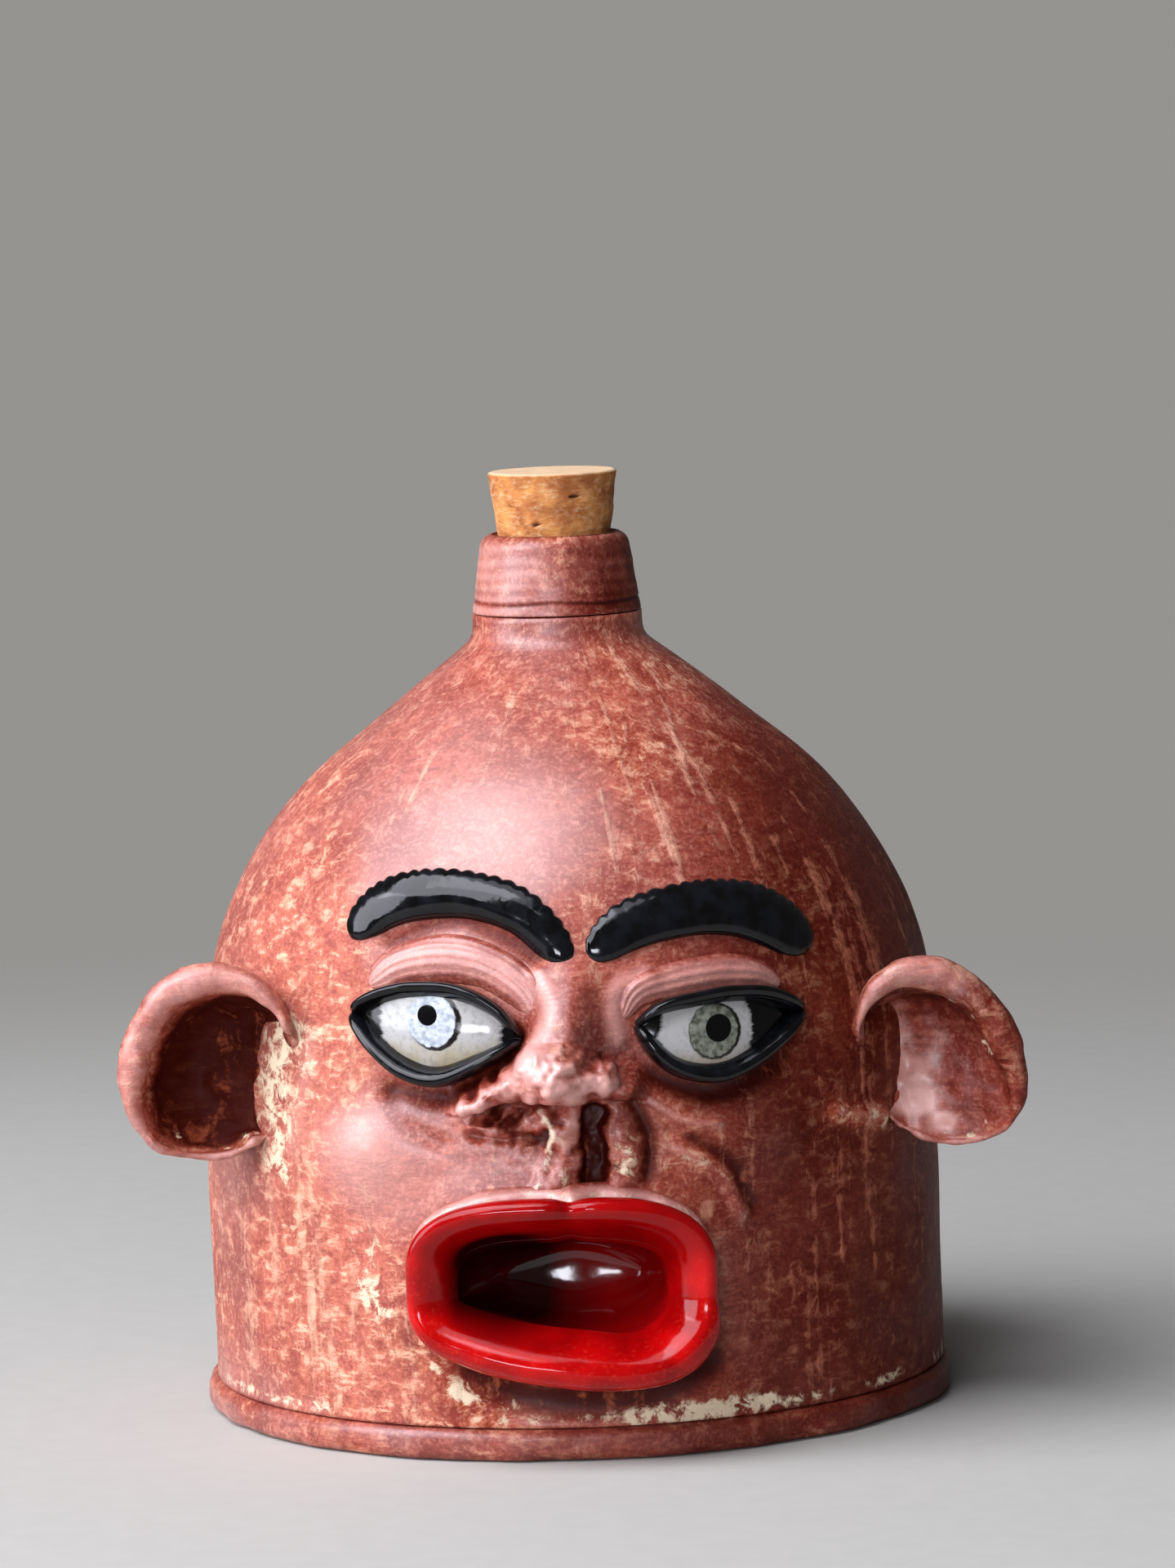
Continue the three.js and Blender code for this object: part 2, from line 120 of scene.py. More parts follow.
def wall_outline():
    """Radius, height and lean of the wall, from foot to neck.

    It is a straight, an arc, a straight cone, a hollow fillet and a straight, in that order."""
    turn = np.linspace(0, shoulder_turn, curve_steps)
    arc_radius = wall_radius - shoulder_radius + shoulder_radius * np.cos(turn)
    arc_height = shoulder_line + shoulder_radius * np.sin(turn)
    back = turn[::-1]
    fillet_radius = neck_radius + neck_fillet - neck_fillet * np.cos(back)
    cone_top = arc_height[-1] + (arc_radius[-1] - fillet_radius[0]) / math.tan(shoulder_turn)
    fillet_height = cone_top + neck_fillet * (math.sin(shoulder_turn) - np.sin(back))
    radius = np.concatenate([[wall_radius], arc_radius, fillet_radius, [neck_radius]])
    height = np.concatenate([[wall_foot], arc_height, fillet_height, [neck_top]])
    lean = np.concatenate([[0], turn, back, [0]])
    return radius, height, lean


outline_radius, outline_height, outline_lean = wall_outline()


def on_wall(arc, z, lift):
    """Point `arc` mm round the wall from the face's middle, `z` up, `lift` out along its normal."""
    radius = np.interp(z, outline_height, outline_radius)
    lean = np.interp(z, outline_height, outline_lean)
    turn = arc / radius
    out = radius + lift * np.cos(lean)
    return np.stack([out * np.sin(turn), -out * np.cos(turn), z + lift * np.sin(lean)], axis=-1)


print("wall radius", wall_radius, "shoulder line", shoulder_line, "neck top", neck_top)


# %% [markdown]
# ## Marks of the hand
# Nothing on the jug is true: the wall is uneven, edges wander, and thumb and tool leave soft creases.
# A sculpting brush would leave such marks too, but not the same ones twice. So two helpers give them.
# One is a seeded field of smooth hills. The other is a stroke, a soft line through a few places on
# the wall, which raises or presses the clay along it.

# %% Hills, ramps and spots
lattice_cells = 32


def hills(points, size, seed):
    """Smooth heights from -1 to 1: random values `size` mm apart on a lattice, eased between."""
    lattice = np.random.default_rng(seed).uniform(-1, 1, (lattice_cells,) * 3)
    cell = np.floor(points / size).astype(int)
    share = points / size - cell
    share = share * share * (3 - 2 * share)
    total = np.zeros(points.shape[:-1])
    for corner in np.ndindex(2, 2, 2):
        weight = np.prod(np.where(np.array(corner) == 1, share, 1 - share), axis=-1)
        i, j, k = np.moveaxis((cell + corner) % lattice_cells, -1, 0)
        total += weight * lattice[i, j, k]
    return total


def ramp(value, low, high):
    """0 below low, 1 above high, eased between them by 3t^2 - 2t^3."""
    share = np.clip((value - low) / (high - low), 0, 1)
    return share * share * (3 - 2 * share)


def spot(arc, z, middle, width, height):
    """1 at a middle place, falling all round it as a bell of that width and height."""
    return np.exp(-((arc - middle[0]) / width) ** 2 - ((z - middle[1]) / height) ** 2)


def pushed(grid, push):
    """Move each point of a sheet `push` mm along the sheet's own normal, found from neighbours."""
    up_way, round_way = np.gradient(grid, axis=(0, 1))
    normal = np.cross(round_way, up_way)
    normal = normal / np.maximum(np.linalg.norm(normal, axis=-1, keepdims=True), 1e-9)
    return grid + push[..., None] * normal


print("hills at four places:", hills(np.arange(12.0).reshape(4, 3), 5, 1).round(2))

# %% Lines and strokes
steps_to_point = 40
stroke_places = 36


def run_length(line):
    """Distance run along a line up to each of its points."""
    return np.append(0, np.cumsum(np.hypot(*np.diff(line, axis=0).T)))


def evenly(line, count, closed=False):
    """`count` places at equal distances along a line; a closed one doesn't repeat its first."""
    length = run_length(line)
    even = np.linspace(0, length[-1], count, endpoint=not closed)
    return np.column_stack([np.interp(even, length, column) for column in line.T])


def smooth_line(points, count):
    """Curve through the points, given as `count` places evenly spaced along it.

    Each stretch is a cubic, whose slope at a point is half the step between that point's neighbours."""
    given = np.array(points, float)
    padded = np.vstack([2 * given[0] - given[1], given, 2 * given[-1] - given[-2]])
    place = np.linspace(0, len(given) - 1.000001, steps_to_point * len(given))
    first = place.astype(int)
    t = (place - first)[:, None]
    a, b, c, d = (padded[first + step] for step in range(4))
    bend = t * (2 * a - 5 * b + 4 * c - d + t * (3 * b - a - 3 * c + d))
    return evenly(b + 0.5 * t * (c - a + bend), count)


def stroke(arc, z, points, width):
    """1 on a smooth line through the points, falling to both sides as a bell of that width."""
    nearest = np.full(np.shape(arc), np.inf)
    for line_arc, line_z in smooth_line(points, stroke_places):
        nearest = np.minimum(nearest, (arc - line_arc) ** 2 + (z - line_z) ** 2)
    return np.exp(-nearest / width ** 2)


def worked(arc, z, strokes):
    """Sum of strokes of (points, width, height): each raises or presses by its own height."""
    return sum(height * stroke(arc, z, line, width) for line, width, height in strokes)


sample = stroke(np.arange(3.0), np.zeros(3), [(0.0, -5.0), (0.0, 5.0)], 1.0)
print("a stroke at 0, 1 and 2 widths from its line:", sample.round(2))


# %% [markdown]
# ## The mouth's oval
# The mouth sits low on the wall and hangs open, lower at one side. A curve drawn by hand could give
# its outline. A squared oval in a formula was chosen, because lips, the coil round them, the pocket
# behind them and the swelling of the face all follow it and ask it for other margins.

# %% The oval
mouth_arc = -2.9
mouth_z = 31.3
mouth_half_width = 21.6
upper_arch = 12.3
lower_arch = 11.8
lower_droop = 0.28
fullness = 3.0
oval_steps = 721


def mouth_share(arc, z):
    """How far a point is from the mouth's middle, as a share of the oval's own reach that way."""
    across = (arc - mouth_arc) / mouth_half_width
    drooped = lower_arch * (1 + lower_droop * np.clip(across, -1, 1))
    upright = (z - mouth_z) / np.where(z > mouth_z, upper_arch, drooped)
    return (np.abs(across) ** fullness + np.abs(upright) ** fullness) ** (1 / fullness)


def mouth_ring(margin, count):
    """The oval grown by a margin: cosine and sine raised to 2 / fullness, spaced evenly."""
    t = np.linspace(0, 2 * np.pi, oval_steps)
    across = np.sign(np.cos(t)) * np.abs(np.cos(t)) ** (2 / fullness)
    upright = np.sign(np.sin(t)) * np.abs(np.sin(t)) ** (2 / fullness)
    arch = np.where(upright > 0, upper_arch, lower_arch * (1 + lower_droop * across)) + margin
    arc, z = mouth_arc + (mouth_half_width + margin) * across, mouth_z + arch * upright
    return evenly(np.column_stack([arc, z]), count, closed=True)


print("mouth in mm:", np.ptp(mouth_ring(0, 100), axis=0).round(1))


# %% [markdown]
# ## The skin of the face
# Before the rolls go on, the potter presses the wall itself: sockets for the eyes, cheeks, a swelling
# round the mouth and creases dragged with a stick. A displacement texture could show this, but no
# piece could ask it anything. Here all of it is one height over the wall, so each piece that lies on
# the face can ask for that height and sit down on it without a gap.

# %% Pads, creases and the skin
pads = {
    "left socket": ((-24.2, 77.0), 20.0, 13.0, -2.2),
    "right socket": ((26.6, 75.6), 20.0, 12.5, -2.0),
    "left cheek": ((-36.5, 56.0), 13.0, 10.0, 3.6),
    "right cheek": ((34.0, 58.0), 12.0, 8.0, 1.6),
    "left brow bone": ((-22.0, 100.0), 18.0, 6.0, 0.9),
    "right brow bone": ((25.0, 96.0), 18.0, 6.0, 0.9),
    "bridge": ((0.5, 86.0), 7.0, 12.0, 1.2),
}
creases = {
    "left eye ridge": (
        [(-5.4, 87.0), (-3.6, 80.0), (-7.2, 73.0), (-13.0, 68.0), (-20.0, 62.6)], 1.7, 1.2),
    "left eye valley": ([(-9.5, 76.0), (-14.0, 69.8), (-23.0, 65.2), (-33.5, 67.0)], 2.2, -1.5),
    "left brow valley": ([(-34.0, 92.6), (-21.0, 96.4), (-10.0, 93.0), (-5.5, 90.0)], 2.0, -1.2),
    "right eye ridge": ([(14.0, 86.0), (8.6, 83.5), (8.2, 77.0), (12.0, 71.0)], 2.2, 1.0),
    "right eye valley": ([(10.6, 73.0), (15.0, 68.2), (26.0, 64.6), (39.0, 69.0)], 2.0, -1.3),
    "right nose fold": ([(10.4, 65.0), (13.6, 57.0), (12.6, 50.5)], 1.5, -1.3),
    "right cheek fold": ([(14.0, 64.0), (19.8, 60.4), (26.0, 59.4)], 1.1, 0.9),
    "right mouth fold": ([(19.0, 55.0), (26.3, 50.2), (30.0, 43.0)], 1.5, 0.9),
    "right mouth groove": ([(21.5, 56.6), (28.8, 51.4), (32.4, 44.0)], 1.4, -0.9),
    "left cheek fold": ([(-34.5, 65.4), (-30.6, 60.6), (-24.0, 57.4)], 1.6, -0.8),
    # This crease's depth also paints the shade under the lips.
    "under the lips": (
        [(-20.0, 16.5), (-12.0, 12.6), (-2.0, 11.2), (12.0, 11.6), (22.0, 17.0)], 3.8, -1.7),
    "left ear join": (
        [(-52.0, 75.0), (-52.2, 70.1), (-54.0, 65.4), (-55.6, 59.9), (-57.1, 54.8)], 2.2, 0.3),
    "right ear join": ([(51.5, 58.6), (55.5, 57.4), (60.5, 56.6), (65.0, 56.0)], 2.0, 1.5),
}
swelling, swelling_from, swelling_fade = 2.2, 1.2, 0.42
crease_full = 1.5


def clay_light_and_shade(arc, z):
    """Painted light and shade: above 0 and pale on ridges, on the lit left side and on two sheen
    spots; below 0 and dark in creases and on the shaded right side.

    Both sides fade out towards the back, where they meet."""
    turn = arc / np.interp(z, outline_height, outline_radius)
    forward = ramp(2.5 - np.abs(turn), 0, 1.2)
    # Painted shade darkens the right side, painted light brightens the left, and the two spots are
    # painted sheen. The crease heights paint pressed creases dark as shade and raised ridges pale as if
    # lit.
    painted_shade_right = 0.72 * ramp(arc, 6, 44) * ramp(140 - z, 0, 25)
    painted_light_left = 0.22 * ramp(-arc, -4, 40)
    painted_sheen_spots = 0.45 * spot(arc, z, (-38, 55), 13, 9) + 0.42 * spot(arc, z, (-6, 113), 18, 13)
    sides = forward * (painted_light_left + painted_sheen_spots - painted_shade_right)
    return np.clip(worked(arc, z, creases.values()) / crease_full + sides, -1, 1)


def skin(arc, z):
    """Height of the clay over the wall: hills of the hand, pads, the swelling of the mouth, creases."""
    place = on_wall(arc, z, 0)
    height = 0.42 * hills(place, 44, 1) + 0.2 * hills(place, 13, 2) + 0.06 * hills(place, 4.2, 3)
    for middle, pad_width, pad_height, rise in pads.values():
        height = height + rise * spot(arc, z, middle, pad_width, pad_height)
    beyond = np.maximum(mouth_share(arc, z) - swelling_from, 0)
    height = height + swelling * np.exp(-(beyond / swelling_fade) ** 2)
    return height + worked(arc, z, creases.values())


print("pads:", len(pads), "creases:", len(creases))


# %% [markdown]
# ## What the scraper left
# When the wall was dry enough, a tool scraped it upwards. It left long pale lines, bared rough clay in
# patches and spared the cheeks, and cream slip stayed where pieces were luted on. All this could be
# painted on by hand. Here each mark is a number from 0 to about 1 at every point of the wall, because
# the same numbers later give colour, roughness and sheen.

# %% Slip, scratches and scraped clay
slip_dabs = [
    ([(-37.6, 30.0), (-36.2, 26.6)], 2.6, 1.1),
    ([(-41.0, 30.6), (-40.2, 28.4)], 2.0, 1.0),
    ([(-40.4, 39.0), (-38.0, 32.0)], 4.0, 0.7),
    ([(-22.6, 12.8), (-20.8, 11.6)], 2.2, 1.1),
    ([(-27.0, 17.0), (-20.0, 12.0), (-12.0, 9.6)], 1.3, 0.8),
    ([(9.0, 6.9), (22.0, 7.7), (35.0, 8.0)], 2.1, 1.3),
    (creases["right mouth fold"][0], 1.8, 0.55),
]
left_ear_slip = [(-58.0, 75.0), (-60.0, 69.0), (-62.0, 62.0), (-62.0, 54.0)]
scratch_width = 0.7
scratch_lines = [
    [(19.2, 135.6), (21.9, 124.8), (24.2, 117.0), (26.6, 111.0), (30.0, 101.6)],
    [(-56.1, 45.6), (-57.2, 35.6), (-58.3, 26.9), (-55.9, 15.3)],
    [(6.7, 117.2), (9.4, 104.2)], [(14.4, 118.8), (19.3, 106.6)], [(11.5, 128.0), (13.0, 119.0)],
    [(-18.8, 129.3), (-24.9, 116.2)], [(-30.9, 118.5), (-34.0, 110.5)],
    [(-9.0, 126.0), (-11.0, 117.0)], [(-25.0, 124.0), (-30.5, 113.0)],
    [(-53.7, 31.4), (-52.6, 17.1)], [(-43.6, 26.8), (-44.1, 17.4)], [(39.5, 39.1), (40.5, 25.3)],
    [(52.3, 42.5), (52.9, 31.3)], [(61.1, 44.1), (62.2, 28.4)], [(33.0, 113.0), (36.5, 103.0)],
    [(-46.0, 96.0), (-47.0, 84.0)],
]
scraped_lines = [
    ([(-56.0, 48.0), (-48.0, 24.0), (-34.0, 12.0)], 16.0, 0.7),
    ([(-14.0, 66.0), (-2.0, 58.0)], 6.0, 0.2),
    ([(14.0, 118.0), (20.0, 108.0)], 9.0, 0.35),
]
spared_spots = [(-40.0, 56.0), (-16.0, 52.0), (-22.0, 106.0), (-8.0, 112.0), (-4.0, 70.0)]


def slip_smears(arc, z):
    """Where cream slip was left: dabs by the lips, torn smears by the ears, a broken line low down."""
    place = on_wall(arc, z, 0)
    dabs = [amount * stroke(arc, z, line, width) for line, width, amount in slip_dabs]
    by_left_ear = stroke(arc, z, left_ear_slip, 7.0) * (0.95 + 0.4 * hills(place, 2.2, 22))
    right_join = stroke(arc, z, creases["right ear join"][0], 2.6)
    by_right_ear = right_join * (0.55 + 0.6 * hills(place, 2.2, 26))
    at_foot = np.exp(-((z - 7.6) / 1.5) ** 2) * (0.55 + 0.5 * hills(place * [1, 1, 0], 13, 23))
    slip = np.max([*dabs, by_left_ear, by_right_ear, at_foot], axis=0)
    return np.clip(slip + 0.25 * hills(place, 2.4, 21) * (slip > 0.2), 0, 1.2)


def scratches(arc, z):
    """1 along the pale lines that a tool scraped up the wall, falling to both sides as a bell."""
    return np.max([stroke(arc, z, line, scratch_width) for line in scratch_lines], axis=0)


def scraped(arc, z):
    """Where a tool bared rough clay: patches, most by the ears and low down, least on the cheeks."""
    place = on_wall(arc, z, 0)
    amount = 0.4 + 0.45 * hills(place, 24, 24) + 0.3 * hills(place, 9, 25) - 0.2 * ramp(z, 98, 112)
    amount = amount + 0.6 * spot(np.abs(arc), z, (50, 76), 10, 26)
    amount = amount + worked(arc, z, scraped_lines)
    for middle in spared_spots:
        amount = amount - 0.9 * spot(arc, z, middle, 15, 10)
    return np.clip(amount, 0, 1)


print("slip dabs:", len(slip_dabs), "scratches:", len(scratch_lines))


# %% [markdown]
# ## The body
# The body is one closed sheet: up the outside, over the neck and down the inside. Its columns stand
# closer together on the face, where the modelling is fine. A Boolean could cut the hole for the
# mouth, but it leaves ragged faces. So the sheet is pushed in behind the lips, to a pocket that holds
# the cup of the mouth, and it is pressed down under the nose, where the nose is luted on.

# %% The body
nose_left, nose_right, nose_low, nose_high = -25.0, 18.0, 45.5, 93.0
bed_ease, bed_inset, bed_depth = 1.5, 2.5, 4.0
pocket_depth = 28.0
face_turn = math.radians(68)
body_columns, body_rows, inner_rows = 340, 214, 30
spread_steps = 4001


def nose_bed(arc, z, inset):
    """1 where the nose lies, 0 outside its rectangle, eased from `inset` mm within its border."""
    beside = np.minimum(arc - nose_left, nose_right - arc)
    within = np.minimum(beside, np.minimum(z - nose_low, nose_high - z))
    return ramp(within, inset, inset + bed_ease)


def spread(low, high, count, density):
    """`count` values from low to high, closer together where the density function is larger."""
    fine = np.linspace(low, high, spread_steps)
    weight = np.append(0, np.cumsum(density((fine[1:] + fine[:-1]) / 2)))
    return np.interp(np.linspace(0, weight[-1], count), weight, fine)


turns = spread(-np.pi, np.pi, body_columns + 1,
               lambda turn: 1 + 1.7 * ramp(face_turn - np.abs(turn), -0.2, 0.2))[:-1]
heights = spread(wall_foot, neck_top, body_rows, lambda z: 1 + 0.8 * ramp(108 - z, 0, 12))
inner_heights = np.linspace(neck_top, wall_foot, inner_rows)
turn_grid, z_grid = np.meshgrid(turns, np.append(heights, inner_heights))
inside = np.repeat([0.0, 1.0], [body_rows, inner_rows])[:, None]
arc_grid = turn_grid * np.interp(z_grid, outline_height, outline_radius)
pocket = 1 - ramp(mouth_share(arc_grid, z_grid), 0.86 + 0.3 * inside, 1.02 + 0.5 * inside)
fade = ramp(z_grid, wall_foot, wall_foot + 2) * ramp(neck_top - z_grid, 0, 6)
outer_lift = skin(arc_grid, z_grid) * fade - bed_depth * nose_bed(arc_grid, z_grid, bed_inset)
body_lift = np.where(inside > 0, -wall_thickness, outer_lift) - pocket_depth * pocket
body = surface(
    "body_clay", on_wall(arc_grid, z_grid, body_lift), ring=True,
    tone=clay_light_and_shade(arc_grid, z_grid), slip=slip_smears(arc_grid, z_grid),
    scrape=scraped(arc_grid, z_grid), scratch=scratches(arc_grid, z_grid))


# %% [markdown]
# ## Foot, collar and cork
# The foot is a slab of clay that the wall was set on, with a soft, uneven edge. The collar was thrown
# apart and put on, so it shows the fine rings of the wheel. The cork is a tapered plug cut from bark,
# with the small dark pores that run through it. A Screw modifier would turn all three too true. So
# their profiles are turned by a formula, and each has a function that pushes its surface about.

# %% Turned pieces and the foot
def turned(name, profile, columns, shape, **tips):
    """Turn a profile of (radius, height) rows round the axis.

    `shape` gives how far each point is pushed out from the axis, and the marks."""
    turn = np.linspace(-np.pi, np.pi, columns, endpoint=False)
    radius, height = (np.repeat(side[:, None], columns, axis=1) for side in np.array(profile).T)
    grid = np.stack([radius * np.sin(turn), -radius * np.cos(turn), height], axis=-1)
    push, marks = shape(grid)
    grid = grid + push[..., None] * np.stack([np.sin(turn), -np.cos(turn), 0 * turn], axis=-1)
    return surface(name, grid, **tips, **marks)


def corner_arc(centre_radius, centre_height, radius, start, end, count):
    """Points on an arc of a profile, from a start to an end angle in degrees, 0 pointing outwards."""
    angle = np.radians(np.linspace(start, end, count))
    return np.column_stack([centre_radius + radius * np.cos(angle),
                            centre_height + radius * np.sin(angle)])


foot_radius = round(corners["foot_slab"][1][0], 1)
foot_top = round(corners["foot_slab"][1][2], 1)
foot_round = 1.9
foot_hub = 4.0
foot_flat = foot_radius - foot_round


def foot_edge(grid):
    """The slab's rim wanders in and out by about a millimetre, its flat stays flat; painted shade at
    right.
    """
    rim = ramp(np.hypot(grid[..., 0], grid[..., 1]), wall_radius - 8, wall_radius)
    push = rim * (0.8 * hills(grid, 21, 31) + 0.4 * hills(grid, 6, 32) + 0.12 * hills(grid, 2, 34))
    # The tone darkens the slab a little all over and, as painted shade, more towards the right, with
    # random blotches.
    tone = -0.32 - 0.55 * grid[..., 0] / foot_radius + 0.3 * hills(grid, 9, 33)
    return push, {"tone": tone, "slip": 0.0, "scrape": 0.2 + 0.4 * hills(grid, 8, 35)}


foot_profile = np.vstack([
    np.linspace((foot_hub, 0), (foot_flat, 0), 12, endpoint=False),
    corner_arc(foot_flat, foot_round, foot_round, -90, 0, 10),
    corner_arc(foot_flat, foot_top - foot_round, foot_round, 0, 90, 10),
    np.linspace((foot_flat - 1, foot_top), (foot_hub, foot_top), 12),
])
foot = turned("foot_clay", foot_profile, 320, foot_edge,
              first_tip=(0, 0, 0), last_tip=(0, 0, foot_top))

# %% The collar
collar_low, collar_high = (round(corners["neck_collar"][end][2], 1) for end in (0, 1))
collar_radius = round(corners["neck_collar"][1][0], 1)
collar_draw = 1.7
collar_round = 2.6
rim_round = 1.6
ring_pitch = 2.3
groove_level, groove_width = 2.2, 0.35
cork_radius = 12.0
cork_slope = 0.1357
cork_high = round(corners["cork_stopper"][1][2], 1)
cork_low = round(corners["cork_stopper"][0][2], 1)
cork_seat = 0.3


def cork_side(z):
    """Radius of the cork at a height: it narrows by the slope for every millimetre down."""
    return cork_radius - cork_slope * (cork_high - z)


def wheel_rings(grid):
    """Faint wavering rings of the wheel, a groove near the foot; painted light left, shade right."""
    radius = np.hypot(grid[..., 0], grid[..., 1])
    outside = ramp(radius, 12.4, 14.2)
    level = grid[..., 2] - collar_low + 0.4 * hills(grid, 9, 41)
    rings = np.sin(2 * np.pi * level / ring_pitch + 2 * hills(grid, 7, 45))
    groove = np.exp(-((level - groove_level) / groove_width) ** 2)
    uneven = 0.25 * hills(grid, 11, 42) + 0.08 * hills(grid, 3, 43)
    push = outside * (0.02 * rings - 0.16 * groove + uneven)
    # Painted light and shade: lighter on the left, darker on the right and darker in the groove.
    lit_side = -0.65 * grid[..., 0] / collar_radius
    tone = outside * (0.1 * rings - 0.8 * groove + lit_side) + 0.3 * hills(grid, 5, 44)
    return push, {"tone": tone, "slip": 0.0, "scrape": 0.25 + 0.3 * hills(grid, 6, 46)}


rim_radius = collar_radius - collar_draw
wall_top = collar_high - collar_round
seat_heights = np.linspace(collar_high - 2, collar_low + 0.2, 16)
collar_profile = np.vstack([
    np.linspace((cork_side(collar_low) + cork_seat + 1, collar_low), (collar_radius, collar_low), 8),
    np.linspace((collar_radius, collar_low + 0.2), (rim_radius, wall_top), 50),
    corner_arc(rim_radius - collar_round, wall_top, collar_round, 3, 86, 22),
    corner_arc(cork_side(collar_high) + cork_seat + rim_round, collar_high - rim_round,
               rim_round, 100, 180, 8),
    np.column_stack([cork_side(seat_heights) + cork_seat, seat_heights]),
])
collar = turned("collar_clay", collar_profile, 220, wheel_rings, ring=True)

# %% The cork
cork_edge = 0.7
cork_hub = 0.6
pore_depth = 0.7


def cork_pores(grid):
    """Pores are dashes across the grain: stretched hills, cut off below a level, press the side in."""
    stretched = grid * np.array([0.55, 0.55, 1.25])
    height = hills(stretched, 2.1, 51) + 0.55 * hills(stretched, 1.0, 52)
    pore = ramp(height, 0.92, 1.15)
    side = ramp(np.hypot(grid[..., 0], grid[..., 1]), 6.5, 8.0)
    push = side * (0.16 * hills(grid, 5, 53) + 0.1 * hills(grid, 1.6, 54) - pore_depth * pore)
    return push, {"pore": pore * side, "cut": ramp(grid[..., 2], cork_high - 0.4, cork_high - 0.1)}


cork_heights = np.linspace(cork_low + cork_edge, cork_high - cork_edge, 110)
cork_profile = np.vstack([
    np.linspace((cork_hub, cork_low), (cork_side(cork_low) - cork_edge, cork_low), 8),
    np.column_stack([cork_side(cork_heights), cork_heights]),
    corner_arc(cork_side(cork_high) - cork_edge, cork_high - cork_edge, cork_edge, 15, 90, 6),
    np.linspace((cork_radius - cork_edge - 0.3, cork_high), (cork_hub, cork_high), 36),
])
cork = turned("cork_bark", cork_profile, 260, cork_pores,
              first_tip=(0, 0, cork_low), last_tip=(0, 0, cork_high))


# %% [markdown]
# ## Rolls of clay
# Lips, brows, lids and the folds over the eyes are all rolls of soft clay pressed down along a line. A
# bevelled curve would make them even tubes that float on the wall. So one function carries an arched
# section along a route on the skin instead, with its underside sunk into the wall, and leaves width
# and height free to change along the way.

# %% The roll
keel_depth = 0.25


def roll(name, route, half_width, rise, closed=False, blunt=1.0, lean=0.0, sunk=0.9, sides=40,
         **marks):
    """Carry a section along a route of (arc, z) places.

    Across the roll a point lies half_width * cos(phi) to the left of the way, and
    rise * sin(phi) ** blunt above the skin. A smaller blunt makes the top flatter and the sides
    steeper, and lean moves the crest to the right by that share of the half width. The half below is
    a shallow keel, sunk into the wall. Width, rise and lean are given along the route, or for every
    point. A mark is a value, or a function of arc, z and the crown, which is 1 on the crest."""
    if closed:
        way = np.roll(route, -1, axis=0) - np.roll(route, 1, axis=0)
    else:
        way = np.gradient(route, axis=0)
    way = way / np.linalg.norm(way, axis=1, keepdims=True)
    phi = np.linspace(0, 2 * np.pi, sides, endpoint=False)
    half_width, rise, lean = (
        np.broadcast_to(value if np.ndim(value) == 2 else np.reshape(value, (-1, 1)),
                        (len(route), sides))
        for value in (half_width, rise, lean))
    left = half_width * (np.cos(phi) - lean * np.maximum(np.sin(phi), 0))
    arc = route[:, :1] - way[:, 1:] * left
    z = route[:, 1:] + way[:, :1] * left
    crown = np.maximum(np.sin(phi), 0) ** blunt
    keel = np.minimum(np.sin(phi), 0) - keel_depth
    grid = on_wall(arc, z, skin(arc, z) + rise * crown + sunk * keel)
    marks = {mark: value(arc, z, crown) if callable(value) else value
             for mark, value in marks.items()}
    if closed:
        return surface(name, grid, ring=True, **marks)
    return surface(name, grid, first_tip=grid[0].mean(axis=0), last_tip=grid[-1].mean(axis=0), **marks)


def rounded_ends(count, power):
    """Share of the full width along a roll: 1 in the middle, falling to nearly 0 at both ends."""
    t = np.linspace(-1, 1, count)
    return np.sqrt(np.clip(1 - np.abs(t) ** power, 0.0004, 1))


print("half of a roll, from its end:", rounded_ends(9, 3.0)[:5].round(2))


# %% [markdown]
# ## The mouth
# The lips are one fat ring, fuller below and with a small notch above. A thin coil of clay was pressed
# round them to hold them, and behind them a cup was let into the wall. A dark patch could stand for
# the opening, but from the side it would look flat. So the mouth is truly hollow: lips and coil are
# closed rolls on the oval, and the cup is a row of ovals that shrink as they go in.

# %% Lips
side_lip, upper_lip, lower_lip = 3.3, 3.9, 4.9
mouth_half_height = 12.0
lip_places, lip_sides = 260, 72
lip_line = mouth_ring(0, lip_places)
lip_across = (lip_line[:, 0] - mouth_arc) / mouth_half_width
lip_upright = (lip_line[:, 1] - mouth_z) / mouth_half_height
upper_share, lower_share = ramp(lip_upright, 0.1, 0.85), ramp(-lip_upright, 0.1, 0.85)
lip_place = on_wall(lip_line[:, 0], lip_line[:, 1], 0)
notch = upper_share * np.exp(-((lip_across - 0.08) / 0.09) ** 2)
lip_width = side_lip + (upper_lip - side_lip) * upper_share + (lower_lip - side_lip) * lower_share
lip_width = lip_width * (1 + 0.05 * hills(lip_place, 9, 61)) - 0.6 * notch
lip_rise = 7.4 + 0.6 * upper_share + 1.2 * lower_share - 1.1 * notch + 0.5 * hills(lip_place, 11, 62)
lip_lean = 0.62 + 0.18 * upper_share - 0.25 * lower_share
section = np.linspace(0, 2 * np.pi, lip_sides, endpoint=False)
lip_blunt = np.where(np.cos(section) > 0, 1.3, 0.6)


def lip_crest(arc, z, crown):
    """High on the crest, where the glaze runs thin; painted shade lowers it off the crest, over the
    upper lip and most inside at the left.
    """
    inner_left_shade = ramp(0.97 - mouth_share(arc, z), 0, 0.12) * ramp(mouth_arc - arc, -4, 12)
    return crown - 0.9 * ramp(z, mouth_z + 2, mouth_z + 9) - 1.6 * inner_left_shade


lips = roll("lips_glaze", lip_line, lip_width, lip_rise, closed=True, blunt=lip_blunt, lean=lip_lean,
            sides=lip_sides, crest=lip_crest)

